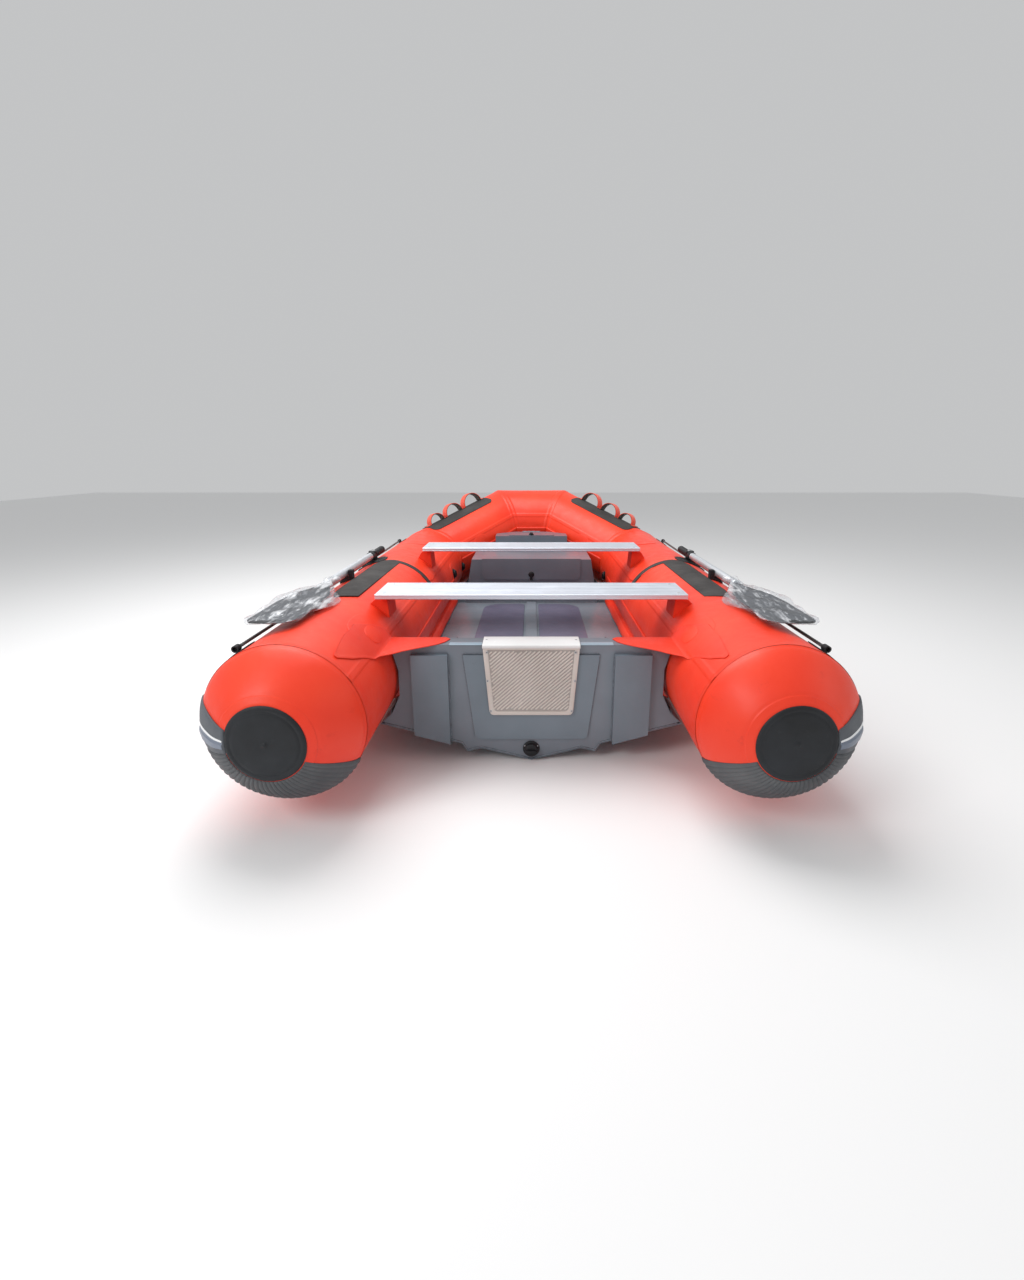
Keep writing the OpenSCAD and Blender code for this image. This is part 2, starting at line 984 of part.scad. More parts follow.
module blade_wrap() {
  gap = 6;
  sheet = 1;
  y = blade_root - 12;
  difference() {
    translate([oar_x, y, oar_z - 4 - gap])
      linear_extrude(height = 8 + 2 * gap)
        blade_outline(gap + 2);
    translate([oar_x, y, oar_z - 4 - gap + sheet])
      linear_extrude(height = 8 + 2 * (gap - sheet))
        blade_outline(gap + 2 - sheet);
    translate([oar_x - 30, y - 2, oar_z - 40])
      cube([60, 20, 80]);
  }
}

module oar_shaft_starboard() {
  color(alu)
    oar_shaft();
}

module oar_shaft_port() {
  color(alu)
    mirror([1, 0, 0])
      oar_shaft();
}

module oar_blade_starboard() {
  color(black)
    oar_blade();
}

module oar_blade_port() {
  color(black)
    mirror([1, 0, 0])
      oar_blade();
}

module blade_wrap_starboard() {
  color(film)
    blade_wrap();
}

module blade_wrap_port() {
  color(film)
    mirror([1, 0, 0])
      blade_wrap();
}

// cradle under the shaft, open outboard so that the oar swings out
clip_y = ty + 530;
module oar_clips() {
  low = oar_z - oar_d / 2 - 1;
  color(black)
    for (s = [0, 1])
      mirror([s, 0, 0])
        upright(clip_y - 14, 28)
          difference() {
            polygon([
              [724, 490], [724, oar_z + 12], [oar_x - oar_d / 2 - 1, oar_z + 12],
              [oar_x - oar_d / 2 - 1, low], [776, low], [780, 490]
            ]);
            translate([tube_x, tube_z])
              circle(r = tube_r + skin, $fn = round_fn);
          }
}

// inflation valves on the inner sides: [side, y from the transom, height]
valve_port_aft = [-1, 1600, 348];
valve_port_fore = [-1, 2016, 316];
valve_starboard = [1, 1766, 304];
valve_r = 30;
module at_valve(v) {
  dz = v[2] - tube_z;
  a = asin(dz / tube_r);
  translate([v[0] * (tube_x - tube_r * cos(a)), ty + v[1], v[2]])
    rotate([0, v[0] > 0 ? -90 + a : 90 - a, 0])
      children();
}

module valve_seats() {
  color(black)
    for (v = [valve_port_aft, valve_port_fore, valve_starboard])
      at_valve(v)
        translate([0, 0, skin])
          cylinder(r = valve_r, h = 4.4, $fn = 48);
}

module valve_cap(v) {
  color(black)
    at_valve(v)
      translate([0, 0, 5.6]) {
        cylinder(r1 = valve_r - 7, r2 = valve_r - 9, h = 9, $fn = 48);
        translate([-16, -3, 8])
          cube([32, 6, 6]);
      }
}

module valve_cap_port_aft() {
  valve_cap(valve_port_aft);
}

module valve_cap_port_fore() {
  valve_cap(valve_port_fore);
}

module valve_cap_starboard() {
  valve_cap(valve_starboard);
}

// grab line along the outboard side: eyes hold it, it bellies a little in between
rope_r = 5;
rope_a = 54;
rope_rho = tube_r + 13;
eye_ys = [-300, 420, 1140, 1860];
belly = 3;
rope_sides = 10;
rope_per_span = 12;
function rope_t(i) = i / rope_per_span;
rope_rings = rope_per_span * (len(eye_ys) - 1);
function rope_y(t) = lookup(t, [for (k = [0:len(eye_ys) - 1]) [k, eye_ys[k]]]);
function rope_drop(t) = belly * pow(sin(180 * (t - floor(t))), 2);
function rope_pt(t) = [
  tube_x + rope_rho * cos(rope_a - rope_drop(t)),
  ty + rope_y(t),
  tube_z + rope_rho * sin(rope_a - rope_drop(t))
];

module lifeline() {
  pts = [for (i = [0:rope_rings]) for (j = [0:rope_sides - 1])
    let (c = rope_pt(rope_t(i)))
    let (a = 360 * j / rope_sides)
    c + rope_r * [cos(a), 0, sin(a)]];
  side = [for (i = [0:rope_rings - 1]) for (j = [0:rope_sides - 1])
    let (a = i * rope_sides + j)
    let (b = i * rope_sides + (j + 1) % rope_sides)
    each [[a, b, b + rope_sides], [a, b + rope_sides, a + rope_sides]]];
  ends = [
    [for (j = [rope_sides - 1:-1:0]) j],
    [for (j = [0:rope_sides - 1]) rope_rings * rope_sides + j]
  ];
  polyhedron(points = pts, faces = concat(side, ends));
}

module lifeline_starboard() {
  color(black)
    lifeline();
}

module lifeline_port() {
  color(black)
    mirror([1, 0, 0])
      lifeline();
}

module line_eye(y) {
  eye_w = 22;
  along([tube_x, ty + y + 34, tube_z], d_side)
    linear_extrude(height = 68)
      sector(tube_r + skin, tube_r + skin + 2.6, rope_a - 9, rope_a + 9);
  difference() {
    along([tube_x, ty + y + eye_w / 2, tube_z], d_side)
      linear_extrude(height = eye_w)
        rotate([0, 0, rope_a])
          translate([rope_rho, 0])
            difference() {
              circle(r = rope_r + 5, $fn = 32);
              circle(r = rope_r + 1.2, $fn = 32);
            }
    along([tube_x, ty + y + 50, tube_z], d_side)
      linear_extrude(height = 100)
        circle(r = tube_r + skin + 1.5, $fn = round_fn);
  }
}

module line_eyes() {
  color(black)
    for (s = [0, 1])
      mirror([s, 0, 0])
        for (y = eye_ys)
          line_eye(y);
}

hull_bottom();
transom();
transom_panel();
transom_stiffeners();
drain_flange();
drain_plug();
motor_pad();
pad_screws();
floor_deck();
floor_rib();
locker_box();
locker_lid();
locker_latch();
foredeck();
anchor_lid();
anchor_latch();
tube_port();
tube_starboard();
tube_bow();
cone_port();
cone_starboard();
cap_port();
cap_starboard();
strake_port();
strake_starboard();
strake_bow();
wear_patch_port();
wear_patch_starboard();
gusset_port();
gusset_starboard();
flap_port();
flap_starboard();
flap_bow();
step_pad_port();
step_pad_starboard();
bow_pad_port();
bow_pad_starboard();
bow_loops_port();
bow_loops_starboard();
seat_rear();
seat_front();
holders_rear();
holders_front();
rowlock_port();
rowlock_starboard();
oar_shaft_port();
oar_blade_port();
blade_wrap_port();
oar_shaft_starboard();
oar_blade_starboard();
blade_wrap_starboard();
oar_clips();
valve_seats();
valve_cap_port_aft();
valve_cap_port_fore();
valve_cap_starboard();
line_eyes();
lifeline_port();
lifeline_starboard();
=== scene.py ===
import math

import bmesh
import bpy
import numpy as np
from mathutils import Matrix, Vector, noise


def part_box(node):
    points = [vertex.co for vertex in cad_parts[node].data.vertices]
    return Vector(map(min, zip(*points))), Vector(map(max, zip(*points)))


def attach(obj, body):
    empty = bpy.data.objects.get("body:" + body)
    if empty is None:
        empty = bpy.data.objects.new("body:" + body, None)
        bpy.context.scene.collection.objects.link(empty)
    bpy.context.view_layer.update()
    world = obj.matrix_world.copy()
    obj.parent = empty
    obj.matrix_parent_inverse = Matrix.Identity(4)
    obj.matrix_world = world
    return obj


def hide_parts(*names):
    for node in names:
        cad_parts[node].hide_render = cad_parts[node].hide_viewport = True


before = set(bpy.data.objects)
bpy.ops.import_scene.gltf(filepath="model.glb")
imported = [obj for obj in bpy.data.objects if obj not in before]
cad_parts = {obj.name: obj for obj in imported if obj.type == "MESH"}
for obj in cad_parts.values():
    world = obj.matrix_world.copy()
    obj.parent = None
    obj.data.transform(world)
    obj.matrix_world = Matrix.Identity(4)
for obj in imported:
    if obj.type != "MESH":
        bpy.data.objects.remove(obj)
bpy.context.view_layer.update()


def unit(v):
    return v / np.linalg.norm(v)


# ---------------------------------------------------------------- places, read from the CAD frame
SIDE_LEN = 2.155                                  # from the transom's aft face to the shoulder
BOW_X = 0.191                                     # half the length of the front tube's axis
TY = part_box("transom")[0].y                       # the transom's aft face
TOP_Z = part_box("transom")[1].z
T_LO, T_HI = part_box("tube_starboard")
TX = (T_LO.x + T_HI.x) / 2                        # axis and radius of the starboard side tube
TZ = (T_LO.z + T_HI.z) / 2
TR = (T_HI.x - T_LO.x) / 2
TAIL = T_LO.y                                     # ring seam between tube and cone
BOW_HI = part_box("tube_bow")[1]
SHOULDER = np.array([TX, TY + SIDE_LEN, TZ])      # corners of the tubes' axis
BOW = np.array([BOW_X, BOW_HI.y - TR, BOW_HI.z - TR])
UP = np.array([0.0, 0.0, 1.0])
D_SIDE = np.array([0.0, 1.0, 0.0])                # ways along the side, slanting and front tubes
D_SLANT = unit(BOW - SHOULDER)
D_FRONT = np.array([-1.0, 0.0, 0.0])
N_SHOULDER = unit(D_SIDE + D_SLANT)
N_BOW = unit(D_SLANT + D_FRONT)
MIRROR = np.array([-1, 1, 1])

# ---------------------------------------------------------------- camera
SENSOR_W, FOCAL_LEN = 36, 16.988625               # mm
SHIFT_X, SHIFT_Y = -0.015078125, -0.0065234375    # of the picture's longer side
CAMERA_BACK, CAMERA_UP, CAMERA_TILT = 1.8944, 1.0221, 73.6      # m aft of the transom, m, degrees
cam_data = bpy.data.cameras.new("camera")
camera = bpy.data.objects.new("camera", cam_data)
bpy.context.scene.collection.objects.link(camera)
bpy.context.scene.camera = camera
cam_data.sensor_width = SENSOR_W
cam_data.lens = FOCAL_LEN
cam_data.shift_x, cam_data.shift_y = SHIFT_X, SHIFT_Y
camera.location = (0, TY - CAMERA_BACK, CAMERA_UP)
camera.rotation_euler = (math.radians(CAMERA_TILT), 0, 0)


# ---------------------------------------------------------------- materials
class Nodes:
    """Short names for the shader nodes that the materials below are made of."""

    def __init__(self, name):
        self.mat = bpy.data.materials.new(name)
        self.mat.use_nodes = True
        self.tree = self.mat.node_tree
        self.shader = self.tree.nodes["Principled BSDF"]
        self.coord = self.tree.nodes.new("ShaderNodeTexCoord").outputs["Object"]

    def node(self, kind, inputs=(), **props):
        made = self.tree.nodes.new("ShaderNode" + kind)
        for key, value in props.items():
            setattr(made, key, value)
        for key, value in dict(inputs).items():
            if isinstance(value, bpy.types.NodeSocket):
                self.tree.links.new(value, made.inputs[key])
            else:
                made.inputs[key].default_value = value
        return made

    def scaled(self, scale):
        return self.node("Mapping", {"Vector": self.coord, "Scale": scale}).outputs[0]

    def noise(self, scale, detail=4.0, stretch=None, rough=0.55):
        source = self.scaled(stretch) if stretch else self.coord
        return self.node("TexNoise", {
            "Vector": source, "Scale": scale, "Detail": detail, "Roughness": rough
        }).outputs["Fac"]

    def wave(self, scale, direction, distortion=0.0, profile="SIN"):
        return self.node("TexWave", {
            "Vector": self.coord, "Scale": scale, "Distortion": distortion
        }, bands_direction=direction, wave_profile=profile).outputs["Fac"]

    def cells(self, scale, feature="F1", stretch=None):
        source = self.scaled(stretch) if stretch else self.coord
        return self.node("TexVoronoi", {"Vector": source, "Scale": scale},
                         feature=feature).outputs["Distance"]

    def spread(self, value, low, high, to_low, to_high):
        return self.node("MapRange", {
            0: value, 1: low, 2: high, 3: to_low, 4: to_high
        }).outputs[0]

    def sums(self, a, b, operation="ADD"):
        return self.node("Math", {0: a, 1: b}, operation=operation).outputs[0]

    def blend(self, factor, a, b):
        made = self.node("Mix", {}, data_type="RGBA")
        self.tree.links.new(factor, made.inputs[0])
        for index, colour in ((6, a), (7, b)):
            if isinstance(colour, bpy.types.NodeSocket):
                self.tree.links.new(colour, made.inputs[index])
            else:
                made.inputs[index].default_value = (*colour, 1)
        return made.outputs[2]

    def colour(self, socket):
        self.tree.links.new(socket, self.shader.inputs["Base Color"])

    def rough(self, socket):
        self.tree.links.new(socket, self.shader.inputs["Roughness"])

    def bump(self, layers):
        last = None
        for height, distance, strength in layers:
            inputs = {"Height": height, "Distance": distance, "Strength": strength}
            if last is not None:
                inputs["Normal"] = last
            last = self.node("Bump", inputs).outputs[0]
        self.tree.links.new(last, self.shader.inputs["Normal"])

    def fixed(self, **values):
        for key, value in values.items():
            self.shader.inputs[key.replace("_", " ")].default_value = value
        return self.mat


def coated_cloth(name, base, light, dark):
    """Coated woven cloth: threads show faintly through a satin coat with scuffs and dust."""
    n = Nodes(name)
    broad = n.noise(3.1, 5.0)
    fine = n.noise(60.0, 3.0)
    tone = n.blend(n.spread(broad, 0.35, 0.68, 0.0, 1.0), base, light)
    scuffs = n.spread(n.noise(16.0, 8.0, (1.0, 0.35, 1.0), 0.75), 0.60, 0.72, 0.0, 0.45)
    tone = n.blend(scuffs, tone, dark)
    n.colour(n.blend(n.spread(fine, 0.4, 0.9, 0.0, 0.10), tone, light))
    n.rough(n.spread(n.noise(22.0, 6.0), 0.3, 0.75, 0.36, 0.52))
    threads = n.sums(n.wave(420.0, "Y"), n.wave(420.0, "DIAGONAL"))
    n.bump([
        (n.noise(7.0, 3.0), 0.004, 0.25),
        (n.noise(45.0, 4.0), 0.0012, 0.18),
        (threads, 0.00012, 0.35),
    ])
    return n.fixed(Coat_Weight=0.10, Coat_Roughness=0.28, Specular_IOR_Level=0.36)


def painted_plate(name, base, light, dark):
    """Satin paint over welded plate: orange peel, faint brush-out, rubbed and dusty areas."""
    n = Nodes(name)
    tone = n.blend(n.spread(n.noise(2.6, 5.0), 0.35, 0.7, 0.0, 1.0), base, light)
    edge = n.spread(n.node("NewGeometry").outputs["Pointiness"], 0.52, 0.58, 0.0, 0.22)
    tone = n.blend(edge, tone, light)
    marks = n.spread(n.noise(30.0, 9.0, (1.0, 4.0, 1.0), 0.8), 0.62, 0.75, 0.0, 0.5)
    n.colour(n.blend(marks, tone, dark))
    n.rough(n.spread(n.noise(12.0, 7.0), 0.3, 0.75, 0.30, 0.50))
    n.bump([(n.noise(260.0, 2.0), 0.0004, 0.30), (n.noise(9.0, 4.0), 0.003, 0.22)])
    return n.fixed(Coat_Weight=0.25, Coat_Roughness=0.25, Metallic=0.15)


def brushed(name, base, light, axis_stretch, metallic=1.0):
    """Extruded or turned metal with drawn streaks along one way and handling marks."""
    n = Nodes(name)
    streak = n.noise(90.0, 6.0, axis_stretch, 0.7)
    n.colour(n.blend(n.spread(streak, 0.35, 0.7, 0.0, 1.0), base, light))
    n.rough(n.sums(n.spread(streak, 0.3, 0.7, 0.44, 0.56),
                   n.spread(n.noise(11.0, 6.0), 0.5, 0.8, 0.0, 0.14)))
    n.bump([(streak, 0.0003, 0.35), (n.noise(5.0, 3.0), 0.002, 0.12)])
    return n.fixed(Metallic=metallic)


def moulded(name, base, light, grain, depth, low, high, coat=0.0):
    """Moulded rubber or plastic with a fine spark-eroded grain and a little dust."""
    n = Nodes(name)
    tone = n.blend(n.spread(n.noise(6.0, 6.0), 0.4, 0.75, 0.0, 1.0), base, light)
    dust = n.spread(n.noise(38.0, 9.0, None, 0.75), 0.58, 0.75, 0.0, 0.35)
    n.colour(n.blend(dust, tone, tuple(min(1.0, c * 1.45 + 0.012) for c in light)))
    n.rough(n.spread(n.noise(25.0, 6.0), 0.3, 0.75, low, high))
    n.bump([(n.cells(grain), depth, 0.45), (n.noise(14.0, 4.0), 0.002, 0.15)])
    return n.fixed(Coat_Weight=coat, Coat_Roughness=0.3, Specular_IOR_Level=0.30)


def strand_cloth(name, base, light, scale, axis):
    """Woven webbing: ribs across, threads along, and a soft fuzz."""
    n = Nodes(name)
    ribs = n.wave(scale, axis)
    cross = n.wave(scale * 1.7, "DIAGONAL")
    weave = n.sums(ribs, cross, "MULTIPLY")
    n.colour(n.blend(n.spread(weave, 0.0, 1.0, 0.0, 1.0), base, light))
    n.rough(n.spread(n.noise(50.0, 4.0), 0.3, 0.7, 0.62, 0.82))
    n.bump([(weave, 0.0006, 0.6), (n.noise(30.0, 4.0), 0.001, 0.2)])
    return n.fixed(Sheen_Weight=0.25, Sheen_Roughness=0.5)


def clear_film(name):
    """Thin crumpled polythene: see-through, with milky creases that catch the light."""
    n = Nodes(name)
    crease = n.noise(34.0, 5.0, (1.0, 0.14, 1.0), 0.62)
    fine = n.noise(85.0, 4.0, (1.0, 0.2, 1.0), 0.6)
    haze = n.spread(crease, 0.50, 0.63, 0.0, 0.9)
    haze = n.sums(haze, n.spread(fine, 0.55, 0.68, 0.0, 0.6), "MAXIMUM")
    n.colour(n.blend(haze, (0.42, 0.45, 0.50), (0.93, 0.94, 0.97)))
    n.rough(n.spread(n.noise(40.0, 4.0), 0.3, 0.7, 0.08, 0.22))
    n.bump([(crease, 0.006, 0.8), (fine, 0.002, 0.6), (n.noise(18.0, 5.0), 0.006, 0.5)])
    alpha = n.spread(haze, 0.0, 1.0, 0.22, 0.78)
    n.tree.links.new(alpha, n.shader.inputs["Alpha"])
    return n.fixed(Specular_IOR_Level=0.9, Coat_Weight=0.6, Coat_Roughness=0.08)


RED = coated_cloth("tube_cloth", (0.84, 0.036, 0.010), (0.90, 0.055, 0.016), (0.56, 0.020, 0.008))
RED_FLAP = coated_cloth("flap_cloth", (0.78, 0.032, 0.010), (0.86, 0.050, 0.016), (0.50, 0.018, 0.008))
RED_WEB = strand_cloth("loop_webbing", (0.74, 0.05, 0.018), (0.90, 0.13, 0.05), 260.0, "Y")
RED_SHOE = moulded("seat_shoe_rubber", (0.82, 0.036, 0.010), (0.87, 0.050, 0.016), 700.0, 0.0003, 0.42, 0.6)
# the loops' dark inner layer: painted shade for the shadowed inside of each loop; the small stitch boxes on
# the feet use it too
LOOP_INNER_SHADE_AND_STITCHES = strand_cloth("loop_inner_shade_and_stitches", (0.035, 0.018, 0.012), (0.10, 0.055, 0.03), 320.0, "X")
PLATE = painted_plate("hull_paint", (0.112, 0.145, 0.175), (0.160, 0.198, 0.235), (0.065, 0.08, 0.1))
PLATE_LIGHT = painted_plate("transom_paint", (0.120, 0.142, 0.170), (0.18, 0.205, 0.24), (0.07, 0.082, 0.1))
FLOOR = painted_plate("floor_paint", (0.17, 0.20, 0.235), (0.24, 0.27, 0.31), (0.11, 0.13, 0.155))
# lilac tint of the floor's tread plates: painted reflection of the glossy floor paint
TREAD_REFLECTION_TINT = painted_plate("floor_tread_painted_reflection", (0.115, 0.105, 0.165), (0.16, 0.15, 0.22), (0.075, 0.07, 0.105))
# lighter copy of the hull paint for the transom's top edge: painted highlight where the top faces the light
TOP_EDGE_HIGHLIGHT = painted_plate("transom_top_painted_highlight", (0.24, 0.33, 0.40), (0.33, 0.42, 0.49), (0.16, 0.21, 0.25))
WELD = brushed("weld_metal", (0.12, 0.135, 0.16), (0.24, 0.265, 0.30), (1.0, 1.0, 1.0), 0.4)
SEAT = brushed("seat_aluminium", (0.62, 0.66, 0.74), (0.82, 0.85, 0.90), (0.02, 6.0, 6.0))
SHAFT = brushed("shaft_aluminium", (0.55, 0.57, 0.60), (0.80, 0.82, 0.85), (6.0, 0.05, 6.0))
STEEL = brushed("screw_steel", (0.42, 0.42, 0.43), (0.70, 0.70, 0.71), (4.0, 4.0, 4.0))
BLACK = moulded("black_plastic", (0.012, 0.012, 0.014), (0.022, 0.022, 0.025), 900.0, 0.00025, 0.40, 0.62)
CAP = moulded("cap_rubber", (0.013, 0.014, 0.016), (0.022, 0.025, 0.03), 1200.0, 0.0002, 0.42, 0.60)
PAD_BLACK = moulded("tread_foam", (0.035, 0.032, 0.031), (0.065, 0.06, 0.058), 420.0, 0.0007, 0.62, 0.85)
BAND = moulded("strake_band", (0.085, 0.092, 0.105), (0.12, 0.13, 0.145), 600.0, 0.0004, 0.5, 0.68)
NOSE = moulded("strake_nose", (0.16, 0.185, 0.24), (0.22, 0.245, 0.30), 600.0, 0.0003, 0.38, 0.55, 0.1)
STRIPE = moulded("strake_stripe", (0.80, 0.81, 0.82), (0.88, 0.88, 0.88), 500.0, 0.0002, 0.4, 0.55)
RIBBED = moulded("wear_rubber", (0.075, 0.078, 0.085), (0.12, 0.125, 0.13), 500.0, 0.0004, 0.55, 0.75)
PAD = moulded("pad_plastic", (0.56, 0.51, 0.47), (0.64, 0.59, 0.55), 650.0, 0.0003, 0.45, 0.62)
LIP = moulded("pad_lip", (0.66, 0.655, 0.65), (0.74, 0.74, 0.74), 650.0, 0.0002, 0.4, 0.55)
# darker colour for the engine pad's recessed floor: dirt, and painted shade in the recess
PAD_GAP_DIRT_AND_SHADE = moulded("pad_gap_dirt_and_shade", (0.36, 0.33, 0.305), (0.43, 0.395, 0.37), 650.0, 0.0003, 0.55, 0.72)
BLADE = moulded("blade_plastic", (0.014, 0.015, 0.018), (0.03, 0.032, 0.037), 350.0, 0.0004, 0.35, 0.55)
ROPE = strand_cloth("line_braid", (0.012, 0.012, 0.013), (0.05, 0.05, 0.052), 380.0, "Y")
TAG = strand_cloth("tag_webbing", (0.70, 0.04, 0.018), (0.85, 0.1, 0.04), 300.0, "X")
FILM = clear_film("clear_film")


# ---------------------------------------------------------------- mesh helpers
def turns(count):
    """Angles right round a circle, without the repeated last one."""
    return np.linspace(0, 2 * math.pi, count, endpoint=False)


def squared(value, power):
    """Bends a sine or cosine, so that a circle comes out as a rounded oblong."""
    return math.copysign(abs(value) ** power, value)


def soften(obj, width, segments=3):
    """Rounded edges on an angular piece, with clean shading."""
    made = obj.modifiers.new("edges", "BEVEL")
    made.width = width
    made.segments = segments
    made.limit_method = "ANGLE"
    made.angle_limit = math.radians(32)
    made.harden_normals = False
    smooth = obj.modifiers.new("normals", "WEIGHTED_NORMAL")
    smooth.keep_sharp = True


def grid_faces(rows, cols, wrap=False):
    faces = []
    for i in range(rows - 1):
        for j in range(cols if wrap else cols - 1):
            k = (j + 1) % cols
            faces.append((i * cols + j, i * cols + k, (i + 1) * cols + k, (i + 1) * cols + j))
    return faces


class Build:
    """Collects several meshes, each with a material number, into one piece."""

    def __init__(self):
        self.verts, self.faces, self.index = [], [], []

    def add(self, verts, faces, mat=0):
        start = len(self.verts)
        self.verts += [np.array(v, float) for v in verts]
        self.faces += [tuple(start + k for k in f) for f in faces]
        self.index += list(mat) if isinstance(mat, (list, tuple)) else [mat] * len(faces)

    def loft(self, rings, mat=0, caps=False):
        """Skin over a row of rings. mat is a number, or gives one per face from the two counts."""
        points = np.asarray(rings, float)
        rows, cols = points.shape[:2]
        faces = grid_faces(rows, cols, wrap=True)
        mats = mat(rows, cols) if callable(mat) else [mat] * len(faces)
        if caps:
            faces.append(tuple(range(cols)))
            faces.append(tuple((rows - 1) * cols + k for k in range(cols)))
            mats = list(mats) + [mats[0], mats[-1]]
        self.add(points.reshape(-1, 3), faces, list(mats))

    def close(self, start, count, mat=0):
        """One flat face over count points; a start below 0 is counted back from the last point."""
        first = start if start >= 0 else len(self.verts) + start
        self.faces.append(tuple(range(first, first + count)))
        self.index.append(mat)

    def shell(self, pairs):
        """A closed slab over a grid that holds an upper and an under point in each place."""
        pairs = np.asarray(pairs, float)
        rows, cols = pairs.shape[:2]
        n = rows * cols
        faces = grid_faces(rows, cols)
        faces += [tuple(reversed([k + n for k in f])) for f in grid_faces(rows, cols)]
        rim = (list(range(cols)) + [i * cols + cols - 1 for i in range(1, rows)]
               + [(rows - 1) * cols + j for j in range(cols - 2, -1, -1)]
               + [i * cols for i in range(rows - 2, 0, -1)])
        for a, b in zip(rim, rim[1:] + rim[:1]):
            faces.append((a, b, b + n, a + n))
        self.add(np.concatenate([pairs[:, :, 0].reshape(-1, 3), pairs[:, :, 1].reshape(-1, 3)]), faces)

    def lathe(self, at, axis, profile, steps=64, mat=0, ripple=None):
        """profile is (radius, height along axis), turned about the axis through at."""
        at, axis = np.array(at, float), unit(np.array(axis, float))
        side, other = square_to(axis)
        rings = []
        for r, h in profile:
            rings.append([at + axis * h + (r * (ripple(t, r) if ripple else 1))
                          * (side * math.cos(t) + other * math.sin(t)) for t in turns(steps)])
        self.loft(rings, mat, caps=True)

    def box(self, centre, size, turn, mat):
        sx, sy, sz = (s / 2 for s in size)
        corners = np.array([[x, y, z] for x in (-sx, sx) for y in (-sy, sy) for z in (-sz, sz)])
        self.add(corners @ turn.T + centre, [(0, 1, 3, 2), (4, 6, 7, 5), (0, 4, 5, 1),
                                             (2, 3, 7, 6), (0, 2, 6, 4), (1, 5, 7, 3)], mat)

    def mirror(self):
        self.verts = [v * MIRROR for v in self.verts]
        self.faces = [tuple(reversed(f)) for f in self.faces]

    def make(self, name, mats, body="boat", nodes=(), slot=None, smooth=True, weld=True):
        """One visible piece made of the points and faces so far, riding on a CAD body."""
        mesh = bpy.data.meshes.new(name)
        mesh.from_pydata([tuple(map(float, v)) for v in self.verts], [], self.faces)
        for mat in mats if isinstance(mats, list) else [mats]:
            mesh.materials.append(mat)
        for poly, i in zip(mesh.polygons, self.index):
            poly.material_index = i
        bm = bmesh.new()
        bm.from_mesh(mesh)
        if weld:
            bmesh.ops.remove_doubles(bm, verts=bm.verts, dist=2e-5)
        bmesh.ops.recalc_face_normals(bm, faces=bm.faces)
        bm.to_mesh(mesh)
        bm.free()
        for poly in mesh.polygons:
            poly.use_smooth = smooth
        obj = bpy.data.objects.new(name, mesh)
        bpy.context.scene.collection.objects.link(obj)
        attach(obj, body)
        if nodes:
            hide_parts(*nodes)
        return obj


def frame_of(d):
    """Two ways square to d: level and up."""
    u = unit(np.cross(d, UP))
    return u, np.cross(u, d)


def square_to(axis):
    """Two ways square to an axis that may stand upright."""
    side = unit(np.cross(axis, UP if abs(axis[2]) < 0.9 else D_SIDE))
    return side, np.cross(axis, side)


U_SLANT, W_SLANT = frame_of(D_SLANT)


def transport(d0, d1):
    """How far the angle round a tube steps on where its axis turns from d0 to d1."""
    k = np.cross(d0, d1)
    (u0, w0), (u1, w1) = frame_of(d0), frame_of(d1)
    return math.degrees(math.atan2(k @ w1, k @ u1) - math.atan2(k @ w0, k @ u0))


TURN_SLANT = transport(D_SIDE, D_SLANT)
TURN_FRONT = TURN_SLANT + transport(D_SLANT, D_FRONT)


def polar(angles, radius):
    a = np.radians(np.asarray(angles, float))
    return np.stack([np.cos(a) * radius, np.sin(a) * radius], 1)


def run(p, d, section, plane0, plane1, near, mid, shape=None):
    """Rings of a section swept along d between two planes. near holds the distances of the rings beside
    each end, and mid counts those between. shape, from the distances to both ends, lifts each point."""
    u, w = frame_of(d)
    q = section[:, :1] * u + section[:, 1:] * w
    radial = q / np.linalg.norm(q, axis=1)[:, None]

    def cut(plane):
        at, n = plane
        return -((p + q - at) @ n) / (d @ n)

    s0, s1 = cut(plane0), cut(plane1)
    near = np.asarray(near)
    inner = np.linspace(0, 1, mid + 2)[1:-1]
    a, b = s0 + near[-1], s1 - near[-1]
    stations = [s0 + t for t in near] + [a + (b - a) * f for f in inner]
    stations += [s1 - t for t in near[::-1]]
    rings = []
    for s in stations:
        ring = p + q + d * s[:, None]
        if shape is not None:
            ring = ring + radial * shape(s - s0, s1 - s)[:, None]
        rings.append(ring)
    return np.array(rings)


# Distances from a ring seam to the rings beside it.
NEAR = [0.0, 0.0015, 0.004, 0.010, 0.0205, 0.0215, 0.028, 0.045, 0.070, 0.105]
# Degrees round a tube, with closer points at the lap seam's edges and one close pair below.
ANGLES = np.array(sorted(set(
    list(np.linspace(0, 360, 120, endpoint=False)) + [143.1, 143.5, 148.6, 149.0, 238.0, 238.4]
)))
TAPE_W = 0.021
STERN = (np.array([0, TAIL, 0]), D_SIDE)
SHOULDER_CUT = (SHOULDER, N_SHOULDER)
BOW_CUT = (BOW, N_BOW)


def puckers(t, angles, phase):
    """Wrinkles beside a ring seam, dying away along the tube."""
    a = np.radians(angles)
    wave = np.sin(9 * a + phase) + 0.7 * np.sin(17 * a + 2.1 * phase) + 0.5 * np.sin(29 * a + phase)
    fade = 0.0016 * np.exp(-np.maximum(t, 0) / 0.045)
    return fade * wave * (t > TAPE_W) * np.minimum(1, (t - TAPE_W) / 0.02)


def tape(t, width=TAPE_W, high=0.0011):
    """The raised band glued over a ring seam."""
    return np.where(t < width, high, 0.0)


def seam(angles):
    """The lap seam that runs along the inner side of each tube."""
    return np.where((angles > 143.3) & (angles < 148.8), 0.0009, 0.0)


